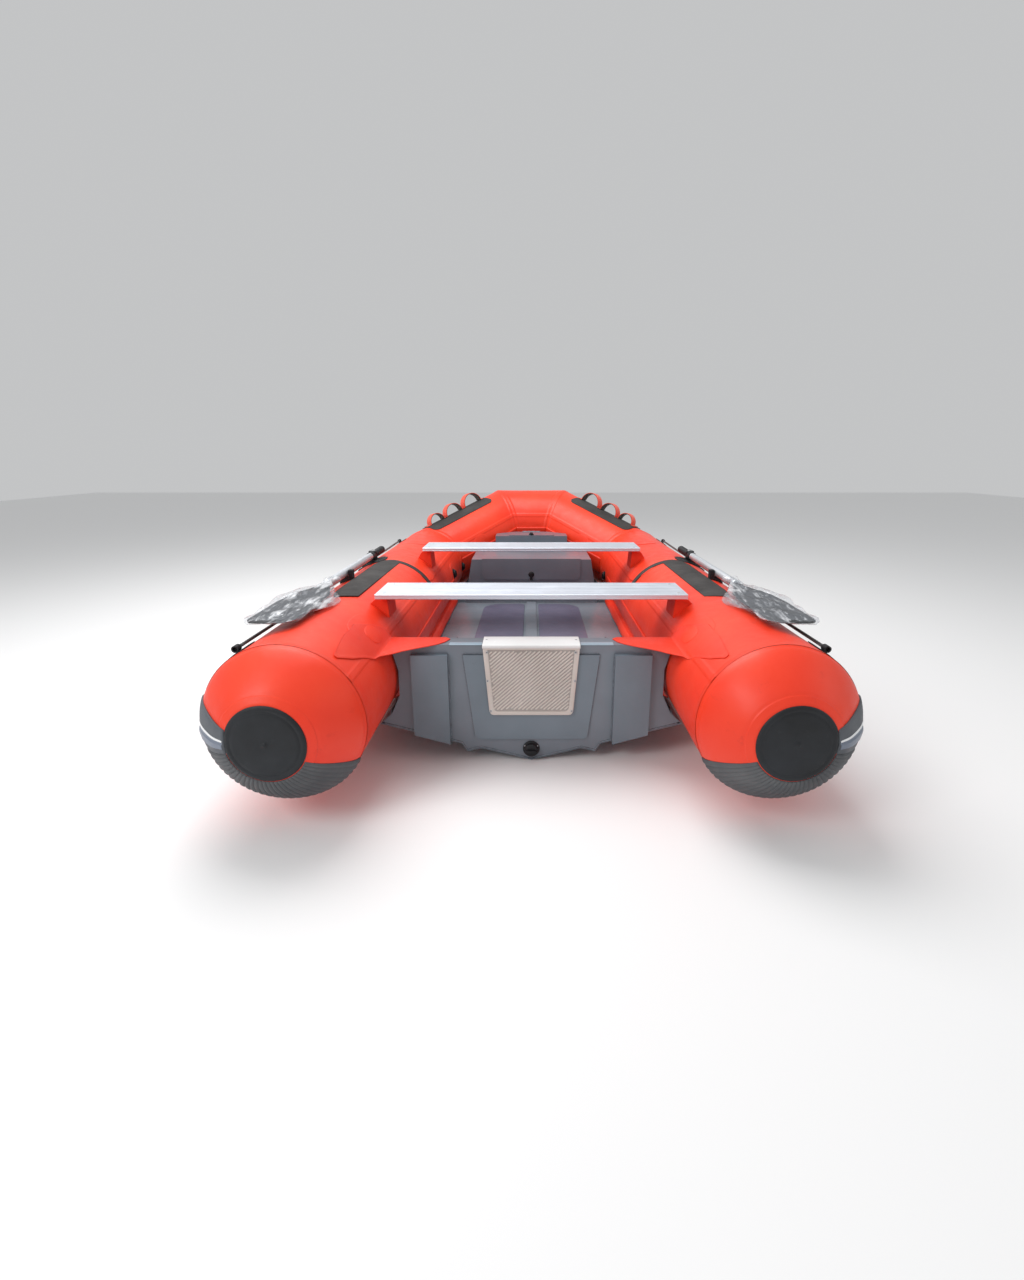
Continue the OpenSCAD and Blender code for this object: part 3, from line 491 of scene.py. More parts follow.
def slow(angles, s, phase):
    """Long shallow waves of the inflated cloth."""
    a = np.radians(angles)
    return 0.0011 * np.sin(2 * a + 3.1 * s + phase) + 0.0007 * np.sin(5 * a - 7.0 * s + phase)


def at_tube(angle, y, lift=0.0):
    a = math.radians(angle)
    r = TR + lift
    return np.array([TX + r * math.cos(a), y, TZ + r * math.sin(a)])


def at_slant(angle, s, lift=0.0):
    a = math.radians(angle)
    return SHOULDER + D_SLANT * s + (TR + lift) * (U_SLANT * math.cos(a) + W_SLANT * math.sin(a))


def both(make):
    """Calls make(Build, suffix) for starboard, and mirrored for port."""
    for suffix in ("starboard", "port"):
        b = Build()
        finish = make(b, suffix)
        if suffix == "port":
            b.mirror()
        finish(b)


# ---------------------------------------------------------------- lifelines, the two cords
EYES = [-0.300, 0.420, 1.140, 1.860]              # places of the line's eyes along the tube
ROPE_R = 0.005


def line_point(t):
    """Point on the starboard line's axis, where t counts the eyes it has passed."""
    k = min(int(t), len(EYES) - 2)
    f = t - k
    y = EYES[k] + (EYES[k + 1] - EYES[k]) * f
    a = 54 - 3 * math.sin(math.pi * f) ** 2
    return at_tube(a, TY + y, 0.013)


def lifeline(b, suffix):
    count = 720
    path = [line_point((len(EYES) - 1) * i / count) for i in range(count + 1)]
    rings = []
    for i, c in enumerate(path):
        u, w = frame_of(unit(path[min(i + 1, count)] - path[max(i - 1, 0)]))
        ring = []
        for j in range(24):
            a = 2 * math.pi * j / 24
            strands = abs(math.sin(1.5 * (a + i * 0.42)))
            r = ROPE_R * (0.80 + 0.22 * strands)
            ring.append(c + r * (u * math.cos(a) + w * math.sin(a)))
        rings.append(ring)
    b.loft(rings, caps=True)

    def finish(b):
        rope = b.make(f"rope_{suffix}", ROPE, nodes=[f"lifeline_{suffix}"], slot="rope")
    return finish


both(lifeline)


# ---------------------------------------------------------------- inflated tubes
def side_tube(b, suffix):
    phase = 0.4 if suffix == "port" else 1.9

    def shape(t0, t1):
        return (tape(t0, 0.012, 0.0010) + tape(t1) + seam(ANGLES) + puckers(t1, ANGLES, phase)
                + 0.5 * puckers(t0, ANGLES, phase + 2) + slow(ANGLES, t0, phase) * np.minimum(1, t1 / 0.2)
                * np.minimum(1, t0 / 0.2))

    rings = run(SHOULDER, D_SIDE, polar(ANGLES, TR), STERN, SHOULDER_CUT,
                [0.0, 0.0015, 0.004, 0.0115, 0.0125, 0.0205, 0.0215, 0.028, 0.045, 0.07, 0.105], 46, shape)
    b.loft(rings)
    return lambda b: b.make(f"side_tube_{suffix}", RED, nodes=[f"tube_{suffix}"], slot="tube_fabric")


both(side_tube)

bow = Build()
slant_angles = ANGLES + TURN_SLANT
front_angles = ANGLES + TURN_FRONT


def bow_shape(angles, phase):
    def shape(t0, t1):
        return (tape(t0) + tape(t1) + seam(angles) + puckers(t0, angles, phase)
                + puckers(t1, angles, phase + 1.3)
                + slow(angles, t0, phase) * np.minimum(1, t0 / 0.15) * np.minimum(1, t1 / 0.15))
    return shape


slant = run(SHOULDER, D_SLANT, polar(slant_angles, TR), SHOULDER_CUT, BOW_CUT, NEAR, 18,
            bow_shape(ANGLES, 0.9))
front_plane = (BOW * MIRROR, N_BOW * MIRROR)
front = run(BOW, D_FRONT, polar(front_angles, TR), BOW_CUT, front_plane, NEAR, 8,
            bow_shape(ANGLES, 2.2))
bow.loft(slant)
bow.loft(front)
bow.loft(slant * MIRROR)
bow.make("bow_tube", RED, nodes=["tube_bow"], slot="tube_fabric")


# ---------------------------------------------------------------- stern cones, caps, wear patches
def curve_through(points, per=5):
    """A smooth line through the points."""
    pts = [np.array(p, float) for p in points]
    pts = [2 * pts[0] - pts[1]] + pts + [2 * pts[-1] - pts[-2]]
    out = []
    for i in range(1, len(pts) - 2):
        for k in range(per):
            t = k / per
            a, m, n, z = pts[i - 1:i + 3]
            out.append(0.5 * (2 * m + (n - a) * t + (2 * a - 5 * m + 4 * n - z) * t * t
                              + (3 * m - a - 3 * n + z) * t ** 3))
    out.append(pts[-2])
    return np.array(out)


CONE_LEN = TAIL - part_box("cone_starboard")[0].y
CAP_R = 0.105
# The cone's side: radius, distance aft of the ring seam.
CONE_LINE = curve_through([
    (TR, 0), (TR - 0.009, 0.17 * CONE_LEN), (TR - 0.027, 0.38 * CONE_LEN),
    (TR - 0.055, 0.63 * CONE_LEN), (TR - 0.087, 0.86 * CONE_LEN), (CAP_R + 0.002, CONE_LEN)
], 8)


def cone_at(angle, f, lift=0.0):
    """Point on the starboard cone, f from 0 at the seam to 1 at the cap."""
    x = f * (len(CONE_LINE) - 1)
    i = min(int(x), len(CONE_LINE) - 2)
    r, h = CONE_LINE[i] + (CONE_LINE[i + 1] - CONE_LINE[i]) * (x - i)
    along = CONE_LINE[i + 1] - CONE_LINE[i]
    out = np.array([along[1], -along[0]]) / np.linalg.norm(along)
    r, h = r + out[0] * lift, h + max(0.0, out[1]) * lift
    a = math.radians(angle)
    return np.array([TX + r * math.cos(a), TAIL - h, TZ + r * math.sin(a)])


def cone(b, suffix):
    around = 144
    rows = []
    for f in sorted(set(list(np.linspace(0, 1, 34)) + [0.004, 0.1, 0.104, 0.80, 0.807, 0.868, 0.875])):
        row = []
        for a in np.linspace(0, 360, around, endpoint=False):
            lift = 0.0010 if f > 0.105 and f < 0.803 else 0.0
            lift += 0.0011 if f > 0.803 else 0.0
            lift += 0.0011 if f > 0.872 else 0.0
            lift += 0.0006 * math.sin(3 * math.radians(a) + 5 * f) * math.sin(math.pi * f)
            row.append(cone_at(a, f, lift))
        rows.append(row)
    back = np.array(rows[-1])
    centre = np.array([TX, back[0][1], TZ])
    rows.append(centre + (back - centre) * 0.5)
    b.loft(rows)
    b.add([centre], [(j - around, (j + 1) % around - around, 0) for j in range(around)])
    return lambda b: b.make(f"stern_cone_{suffix}", RED, nodes=[f"cone_{suffix}"], slot="tube_fabric")


both(cone)


def stern_cap(b, suffix):
    lo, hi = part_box(f"cap_{suffix}")
    depth = hi.y - lo.y
    profile = [(CAP_R - 0.002, 0.0), (CAP_R, 0.001), (CAP_R + 0.0008, 0.003), (CAP_R + 0.0005, 0.0045),
               (CAP_R - 0.002, 0.0062), (CAP_R - 0.006, 0.0078), (CAP_R - 0.009, 0.0084),
               (CAP_R - 0.013, 0.0072), (CAP_R - 0.016, 0.0070)]
    for k in range(12):
        f = k / 11
        r = (CAP_R - 0.017) * (1 - f) + 0.007 * f
        profile.append((r, 0.0070 + 0.0028 * (1 - (r / CAP_R) ** 2)))
    profile += [(0.006, 0.0108), (0.0042, depth - 0.0012), (0.002, depth - 0.0002), (0.0005, depth)]
    b.lathe([TX, hi.y, TZ], [0, -1, 0], profile, 128)
    return lambda b: b.make(f"stern_cap_{suffix}", CAP, nodes=[f"cap_{suffix}"], slot="black_rubber")


both(stern_cap)


def wear_patch(b, suffix):
    """Rubber patch round the cone's underside, ribbed lengthwise and feathered at its edges."""
    low, high, ribs = -152.0, -15.2, 26
    pairs = []
    for f in np.linspace(0.0, 1.0, 30):
        row = []
        for a in np.linspace(low, high, ribs * 12 + 1):
            wave = abs(math.sin(math.pi * ((a - low) / (high - low) * ribs)))
            edge = min(1.0, (a - low) / 2.0, (high - a) / 2.0) * min(1.0, f / 0.03 + 0.25)
            lift = 0.0030 + 0.0030 * edge * wave ** 0.6 + 0.0004 * edge
            row.append((cone_at(a, f, lift), cone_at(a, f, -0.001)))
        pairs.append(row)
    b.shell(pairs)
    return lambda b: b.make(f"ribbed_patch_{suffix}", RIBBED, nodes=[f"wear_patch_{suffix}"],
                            slot="grey_rubber")


both(wear_patch)


# ---------------------------------------------------------------- rubbing strakes
def strake_section():
    """Closed outline of the strake as (radius, degrees), with a material number for each edge."""
    r0 = TR + 0.0004
    pts = [(r0, -15.0, 0), (r0 + 0.0042, -14.6, 0), (r0 + 0.0050, -12.5, 0)]
    nose_r, tilt = 0.019, math.radians(-4)
    for k in range(17):
        t = math.radians(-78 + 150 * k / 16)
        x, y = TR - 0.006 + nose_r * math.cos(t), nose_r * math.sin(t)
        x, y = (x * math.cos(tilt) - y * math.sin(tilt),
                x * math.sin(tilt) + y * math.cos(tilt))
        r = math.hypot(x, y)
        if r > r0 + 0.0052:
            pts.append((r, math.degrees(math.atan2(y, x)), 1))
    pts += [(r0 + 0.0052, 2.0, 2), (r0 + 0.0062, 2.6, 2), (r0 + 0.0064, 4.4, 2), (r0 + 0.0054, 5.0, 0),
            (r0 + 0.0052, 5.6, 0)]
    pts += [(r0 + 0.0052, a, 0) for a in (8, 11, 14, 17, 19.6)]
    pts += [(r0 + 0.0046, 20.6, 0), (r0 + 0.0030, 21.0, 0), (r0, 21.1, 0)]
    return pts


STRAKE = strake_section()


def strake_mats(rows, cols):
    return [STRAKE[j][2] for _ in range(rows - 1) for j in range(cols)]


def strake_polar(turn):
    return np.concatenate([polar([a + turn], r) for r, a, _ in STRAKE])


def strake_on_cone(r, f):
    """How proud the strake stands on the cone: its nose sinks to 8.5 mm over the first part."""
    lift, most = r - TR, 0.0085
    return min(lift, most) if f > 0.3 else lift - max(0.0, lift - most) * f / 0.3


def strake(b, suffix):
    rings = run(SHOULDER, D_SIDE, strake_polar(0), STERN, SHOULDER_CUT, [0.0003, 0.02], 60)
    b.loft(rings, mat=strake_mats, caps=True)
    b.loft([[cone_at(a, f, strake_on_cone(r, f)) for r, a, _ in STRAKE] for f in np.linspace(0.0, 1.0, 26)],
           mat=strake_mats, caps=True)
    return lambda b: b.make(f"side_strake_{suffix}", [BAND, NOSE, STRIPE], nodes=[f"strake_{suffix}"],
                            slot="grey_rubber", weld=False)


both(strake)

b = Build()
rings = run(SHOULDER, D_SLANT, strake_polar(TURN_SLANT), SHOULDER_CUT, BOW_CUT, [0.0003, 0.02], 20)
b.loft(rings, mat=strake_mats, caps=True)
b.loft(rings * MIRROR, mat=strake_mats, caps=True)
rings = run(BOW, D_FRONT, strake_polar(TURN_FRONT), BOW_CUT, front_plane, [0.0003, 0.02], 10)
b.loft(rings, mat=strake_mats, caps=True)
b.make("bow_strake", [BAND, NOSE, STRIPE], nodes=["strake_bow"], slot="grey_rubber", weld=False)


# ---------------------------------------------------------------- patches, pads and straps on the tubes
def tube_oval(b, y0, a0, half_y, half_a, thick, dome=0.0, at=at_tube, lift=0.0, power=2.4):
    """A rounded patch lying on a tube, thicker in the middle by dome and thin at its rim."""
    around = 64
    stops = {0.02: 1.0, 0.3: 1.0, 0.6: 1.0, 0.85: 1.0, 0.955: 1.0, 0.985: 1.0, 1.0: 0.45, 1.002: -0.6}
    rows = []
    for f, edge in stops.items():
        row = []
        for j in range(around):
            t = 2 * math.pi * j / around
            y = half_y * f * squared(math.cos(t), 2 / power)
            a = half_a * f * squared(math.sin(t), 2 / power)
            row.append(at(a0 + a, y0 + y, lift + thick * edge + dome * max(0.0, 1 - f * f)))
        rows.append(row)
    b.loft(rows)
    b.close(-len(stops) * around, around)


def patches(b, suffix):
    tube_oval(b, TY + 1.045, 127, 0.140, 22, 0.0016)
    tube_oval(b, TY - 0.020, 133, 0.118, 17, 0.0015)
    tube_oval(b, TY - 0.024, 138, 0.050, 8.5, 0.0022, 0.003, lift=0.0012)
    tube_oval(b, TY + 1.58, 95, 0.07, 14, 0.0014)
    tube_oval(b, 0.30, 168, 0.055, 12, 0.0014, at=at_slant)
    round_valves = [(1.766, 182)] if suffix == "starboard" else [(1.600, 171), (2.030, 179)]
    for y, angle in round_valves:
        tube_oval(b, TY + y, angle, 0.062, 16, 0.0014)
    return lambda b: b.make(f"reinforcing_patches_{suffix}", RED, slot="tube_fabric")


both(patches)


def angle_of_x(x):
    return math.degrees(math.acos(max(-1.0, min(1.0, (x - TX) / TR))))


# Edges of the step pad in mm: places along the tube, then distances from the middle of the boat.
PAD_INNER = ([190, 196, 206, 222, 500, 930, 948, 957, 958], [688, 662, 640, 621, 620, 618, 622, 628, 632])
PAD_OUTER = ([190, 196, 215, 250, 320, 850, 915, 940, 952, 958],
             [690, 700, 708, 716, 722, 722, 706, 688, 668, 634])


def step_pad(b, suffix):
    """Tread pad on the side tube, with a raised rim, and a strip across its fore end."""
    ys = sorted(set([190.5, 193, 197, 202, 208, 215, 222, 230] + list(range(240, 920, 14))
                    + [915, 925, 932, 940, 946, 951, 955, 957.5]))
    pairs = []
    for y in ys:
        a1, a0 = (angle_of_x(np.interp(y, *side) / 1000) for side in (PAD_INNER, PAD_OUTER))
        row = []
        for f in [0, 0.01, 0.05, 0.06] + list(np.linspace(0.1, 0.9, 14)) + [0.94, 0.95, 0.99, 1]:
            rim = f < 0.055 or f > 0.945 or y < 202 or y > 946
            edge = f < 0.001 or f > 0.999 or y < 191 or y > 957
            lift = 0.0020 if edge else (0.0040 if rim else 0.0031)
            row.append([at_tube(a0 + (a1 - a0) * f, TY + y / 1000, high) for high in (lift, 0.0004)])
        pairs.append(row)
    b.shell(pairs)
    profile = [(0.0, 0.0015), (0.001, 0.0030), (0.004, 0.0038), (0.008, 0.0038), (0.010, 0.0031),
               (0.023, 0.0034), (0.036, 0.0031), (0.038, 0.0038), (0.042, 0.0038), (0.045, 0.0030),
               (0.046, 0.0015)]
    b.shell([[[at_tube(a, TY + 0.912 + dy, high) for high in (lift, 0.0004)] for dy, lift in profile]
             for a in np.linspace(100, 168, 60)])
    return lambda b: b.make(f"tread_pad_{suffix}", PAD_BLACK, nodes=[f"step_pad_{suffix}"],
                            slot="black_rubber")


both(step_pad)


def bow_pad(b, suffix):
    """Tread pad on the slanting tube, its corners tucked in."""
    s0, s1 = 0.075, 0.590
    ends = (0.0, 0.001, 0.006, 0.012, 0.02)
    stations = [s0 + t for t in ends] + [s1 - t for t in ends] + list(np.linspace(s0 + 0.03, s1 - 0.03, 40))
    pairs = []
    for s in sorted(set(stations)):
        end = min(s - s0, s1 - s)
        tuck = 7.0 * max(0.0, 1 - end / 0.035) ** 2
        a0, a1 = 60 + tuck, 111 - tuck
        row = []
        for f in [0, 0.01, 0.05, 0.065] + list(np.linspace(0.12, 0.88, 12)) + [0.935, 0.95, 0.99, 1]:
            edge = f < 0.001 or f > 0.999 or end < 0.0005
            rim = f < 0.055 or f > 0.945 or end < 0.012
            lift = 0.0018 if edge else (0.0038 if rim else 0.0030)
            row.append([at_slant(a0 + (a1 - a0) * f, s, high) for high in (lift, 0.0004)])
        pairs.append(row)
    b.shell(pairs)
    return lambda b: b.make(f"bow_tread_{suffix}", PAD_BLACK, nodes=[f"bow_pad_{suffix}"],
                            slot="black_rubber")


both(bow_pad)

LOOPS = [(0.482, 0.074), (0.315, 0.068), (0.168, 0.058)]        # place along the slanting tube, radius
# Cross-section of a strap in halves of its width and thickness, dished a little on its outer side.
WEBBING = [(-1, -0.5), (-0.96, -1), (-0.5, -1), (0, -1), (0.5, -1), (0.96, -1), (1, -0.5),
           (1, 0.5), (0.96, 1), (0.5, 0.92), (0, 0.86), (-0.5, 0.92), (-0.96, 1), (-1, 0.5)]


def grab_loops(b, suffix):
    """Webbing loops: a red outer strap with a dark inner layer that paints the shade inside the loop, feet
    flat on the pad.
    """
    a = math.radians(80)
    out = U_SLANT * math.cos(a) + W_SLANT * math.sin(a)
    across = np.cross(D_SLANT, out)
    for spot, radius in LOOPS:
        base = SHOULDER + D_SLANT * spot + out * (TR + 0.0036)
        # the second, inner strap carries the painted shade of the loop's inside
        straps = ((0, radius - 0.0030, radius, 0.0290), (1, radius - 0.0060, radius - 0.0031, 0.0276))
        for mat, inner, outer, half in straps:
            rings = []
            for k in range(47):
                t = math.pi * k / 46
                lean = 0.35 * math.sin(t)
                rad = out * math.sin(t) - D_SLANT * math.cos(t)
                width = half * (1.0 - 0.14 * math.sin(t) ** 2)
                mid = 0.5 * (inner + outer)
                ring = []
                for x, h in WEBBING:
                    r = mid + h * (outer - inner) / 2
                    ring.append(base + rad * r + across * (x * width + 0.003 * lean))
                rings.append(ring)
            b.loft(rings, mat=mat, caps=True)
        for side in (-1, 1):
            foot = base + D_SLANT * side * (radius + 0.013)
            turn = np.stack([across, D_SLANT, out], 1)
            b.box(foot + out * 0.0012, (0.058, 0.026, 0.0026), turn, 0)
            for x in (-0.025, 0.025):
                for y in np.linspace(-0.012, 0.012, 6):
                    b.box(foot + across * x + D_SLANT * y + out * 0.0027, (0.0012, 0.0030, 0.0012), turn, 1)
    return lambda b: b.make(f"grab_loops_{suffix}", [RED_WEB, LOOP_INNER_SHADE_AND_STITCHES], nodes=[f"bow_loops_{suffix}"],
                            slot="tube_fabric")


both(grab_loops)


# Edges of the gusset: distances from the middle of the boat, then places fore and aft of the transom.
GUSSET_AFT = ([0.275, 0.285, 0.305, 0.340, 0.415, 0.470, 0.492, 0.508, 0.532, 0.542, 0.552, 0.558, 0.5600],
              [0.060, 0.030, 0.004, -0.020, -0.060, -0.122, -0.200, -0.268, -0.327, -0.322, -0.240, -0.180,
               -0.060])
GUSSET_FORE = ([0.275, 0.290, 0.500, 0.530, 0.560], [0.064, 0.082, 0.082, 0.020, -0.056])


def gusset(b, suffix):
    """Cloth wing from the transom's top corner onto the tube, hemmed along its free edge."""
    k = 0.006                                     # how softly the level part runs into the tube
    pairs = []
    for x in np.concatenate([np.linspace(0.275, 0.500, 40), np.linspace(0.504, 0.560, 22)]):
        y0, y1 = np.interp(x, *GUSSET_AFT), np.interp(x, *GUSSET_FORE)
        tube = TZ + math.sqrt(max(0.0, (TR + 0.0022) ** 2 - (x - TX) ** 2))
        row = []
        for f in [0, 0.004, 0.03, 0.045, 0.06] + list(np.linspace(0.1, 0.98, 22)) + [1]:
            y = y0 + (y1 - y0) * f
            free = min(1.0, max(0.0, (0.0 - y) / 0.10)) * min(1.0, max(0.0, (0.478 - x) / 0.06))
            sag = -0.006 * free * (1 - f) + 0.0016 * math.sin(60 * x + 25 * y) * free
            z = flat = TOP_Z + 0.0022 + sag
            if x > 0.40:
                z = 0.5 * (flat + tube + math.sqrt((flat - tube) ** 2 + k * k))
                z -= 0.5 * k * math.exp(-((flat - tube) / 0.01) ** 2)
            z = max(z, tube) if x > 0.452 else z
            hem = 0.0009 if f < 0.05 else 0.0
            row.append(([x, TY + y, z + hem], [x, TY + y, z - 0.0018]))
        pairs.append(row)
    b.shell(pairs)

    def finish(b):
        wing = b.make(f"gusset_cloth_{suffix}", RED_FLAP, nodes=[f"gusset_{suffix}"], slot="tube_fabric")
    return finish


both(gusset)


def flap(b, suffix):
    """Bonding flap: hugs the tube's inner side, then turns down to the floor's edge."""
    line = [at_tube(a, 0, 0.0016)[[0, 2]] for a in np.linspace(177, 211, 18)]
    line += [(0.4660, 0.2035), (0.4540, 0.1975), (0.4470, 0.1890), (0.4435, 0.178), (0.4425, 0.169)]
    line = np.array(line)
    tang = np.gradient(line, axis=0)
    tang /= np.linalg.norm(tang, axis=1)[:, None]
    normal = np.stack([-tang[:, 1], tang[:, 0]], 1)
    lo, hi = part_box(f"flap_{suffix}")
    inner_ys = np.linspace(lo.y + 0.01, hi.y - 0.01, 90)
    ys = np.concatenate([[lo.y, lo.y + 0.001], inner_ys, [hi.y - 0.001, hi.y]])
    pairs = []
    for y in ys:
        row = []
        for k, (p, n) in enumerate(zip(line, normal)):
            wavy = 0.0012 * math.sin(21 * y + 0.4 * k) * (k / len(line)) ** 2
            thick = 0.0022 if 0 < k < 3 else 0.0013
            row.append([[p[0] + n[0] * out + wavy, y, p[1] + n[1] * out] for out in (-thick, 0.0008)])
        pairs.append(row)
    b.shell(pairs)

    def finish(b):
        strip = b.make(f"flap_cloth_{suffix}", RED_FLAP, nodes=[f"flap_{suffix}"], slot="tube_fabric")
    return finish


both(flap)

BOW_FLAP = np.linspace(167, 194, 12)              # degrees round the tube


def bow_flap(p, d, turn, plane0, plane1, count):
    """One length of the flap inside the bow, its two lowest edges rolled thicker."""
    outer, inner = (run(p, d, polar(BOW_FLAP + turn, TR + lift), plane0, plane1, [0.0004, 0.01], count)
                    for lift in (0.0026, 0.0004))
    rolled = outer.copy()
    rolled[:, 0] += (rolled[:, 0] - inner[:, 0]) * 0.9
    rolled[:, 1] += (rolled[:, 1] - inner[:, 1]) * 0.5
    return np.stack([rolled, inner], 2)


b = Build()
slant_flap = bow_flap(SHOULDER, D_SLANT, TURN_SLANT, SHOULDER_CUT, BOW_CUT, 26)
b.shell(slant_flap)
b.shell(bow_flap(BOW, D_FRONT, TURN_FRONT, BOW_CUT, front_plane, 12))
b.shell(slant_flap * MIRROR)
bow_strip = b.make("flap_cloth_bow", RED_FLAP, nodes=["flap_bow"], slot="tube_fabric")


# ---------------------------------------------------------------- engine pad
def pad_half_at(z, lo, hi):
    return 0.140 + 0.020 * (z - lo.z) / (hi.z - lo.z)


def motor_pad():
    """Moulded pad: a dished outline, rows of slanting lozenge ribs inside it, and a lip over the top."""
    lo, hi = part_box("motor_pad")
    b = Build()
    face_y, back_y = lo.y, TY - 0.0086
    corner, z_top = 0.014, hi.z - 0.004
    half_low, half_top = pad_half_at(lo.z, lo, hi), pad_half_at(z_top, lo, hi)
    part = [(half_top, z_top), (half_low + 0.0013, lo.z + corner)]
    for k in range(1, 8):
        t = -math.pi / 2 * k / 8
        part.append((half_low - corner + corner * math.cos(t), lo.z + corner + corner * math.sin(t)))
    part.append((half_low - corner, lo.z))
    outline = part + [(-x, z) for x, z in part[::-1]]
    mid_z = (lo.z + hi.z) / 2
    loops = []
    for shrink, y in ((1.0, back_y), (1.0, face_y + 0.0025), (0.993, face_y + 0.0008),
                      (0.984, face_y + 0.0002), (0.91, face_y + 0.0002), (0.900, face_y + 0.0008),
                      (0.893, face_y + 0.0022)):
        loops.append([[x * shrink, y, mid_z + (z - mid_z) * shrink] for x, z in outline])
    b.loft(loops)
    n = len(outline)
    # the recessed floor inside the rim takes the darker colour: dirt with painted shade
    b.close(6 * n, n, 2)
    b.close(0, n)
    slant = math.radians(42)
    rib_dir = np.array([math.cos(slant), math.sin(slant)])
    rib_across = np.array([-rib_dir[1], rib_dir[0]])
    rib_r, row_step, col_step = 0.0029, 0.0095, 0.0290
    for row in range(-26, 27):
        for col in range(-9, 10):
            along = col * col_step + (row % 2) * col_step / 2
            mid = np.array([0, mid_z]) + rib_across * row * row_step + rib_dir * along
            inside = [mid + rib_dir * t for t in np.linspace(-0.0125, 0.0125, 11)]
            inside = [q for q in inside if abs(q[0]) < pad_half_at(q[1], lo, hi) * 0.875
                      and lo.z + 0.021 < q[1] < hi.z - 0.023]
            if len(inside) < 3:
                continue
            rings = []
            for y, grow in ((face_y + 0.0023, 1.0), (face_y + 0.0011, 0.86), (face_y + 0.0006, 0.5)):
                ring = []
                for t in turns(12):
                    end = inside[-1] if math.cos(t) > 0 else inside[0]
                    p = end + (rib_dir * math.cos(t) + rib_across * math.sin(t)) * rib_r * grow
                    ring.append([p[0], y, p[1]])
                rings.append(ring)
            b.loft(rings)
            b.close(-12, 12)
    front, back, under = face_y, hi.y, hi.z - 0.0050
    profile = [(front + 0.001, hi.z - 0.012), (front - 0.0012, hi.z - 0.0108), (front - 0.0016, hi.z - 0.008),
               (front - 0.0008, hi.z - 0.004), (front + 0.0022, hi.z - 0.0008), (front + 0.006, hi.z),
               (back - 0.003, hi.z), (back - 0.0008, hi.z - 0.0008), (back, hi.z - 0.0028),
               (back, hi.z - 0.0048), (back - 0.004, under), (TY - 0.002, under), (TY - 0.009, under),
               (TY - 0.009, hi.z - 0.012)]
    mid = np.mean(profile, axis=0)
    ends = [0.155, 0.1585, 0.1600, 0.1604]
    rings = []
    for x in [-x for x in ends[::-1]] + list(np.linspace(-0.14, 0.14, 9)) + ends:
        inset = 0.0012 if abs(x) > 0.1602 else (0.0003 if abs(x) > 0.1598 else 0.0)
        rings.append([[x, y + (mid[0] - y) * inset * 10, z + (mid[1] - z) * inset * 10] for y, z in profile])
    b.loft(rings, 1, caps=True)
    b.make("engine_pad", [PAD, LIP, PAD_GAP_DIRT_AND_SHADE], nodes=["motor_pad"], slot="pad_plastic", weld=False)


motor_pad()


def screw(b, at, axis, r=0.0050):
    """Countersunk head with a cross recess and a worn rim."""
    b.lathe(at, axis, [(r * 0.6, -0.0022), (r, -0.0004), (r * 1.0, 0.0), (r * 0.93, 0.0003),
                       (r * 0.5, 0.0006), (0.0002, 0.0007)], 32)
    axis = np.array(axis, float)
    turn = np.stack([*square_to(axis), axis], 1)
    for size in ((r * 1.1, r * 0.24, 0.0004), (r * 0.24, r * 1.1, 0.0004)):
        b.box(np.array(at) + axis * 0.00062, size, turn, 1)


P_LO, P_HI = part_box("motor_pad")
b = Build()
for s in (-1, 1):
    for x, z in ((0.145, 0.400), (0.145, 0.300), (0.136, 0.192)):
        screw(b, [s * x, P_LO.y + 0.0001 - (0.0018 if z > 0.395 else 0.0), z], [0, -1, 0])
    screw(b, [s * 0.150, TY + 0.040, P_HI.z + 0.0001], [0, 0, 1])
b.make("pad_screw_heads", [STEEL, BLACK], nodes=["pad_screws"], slot="steel", weld=False)


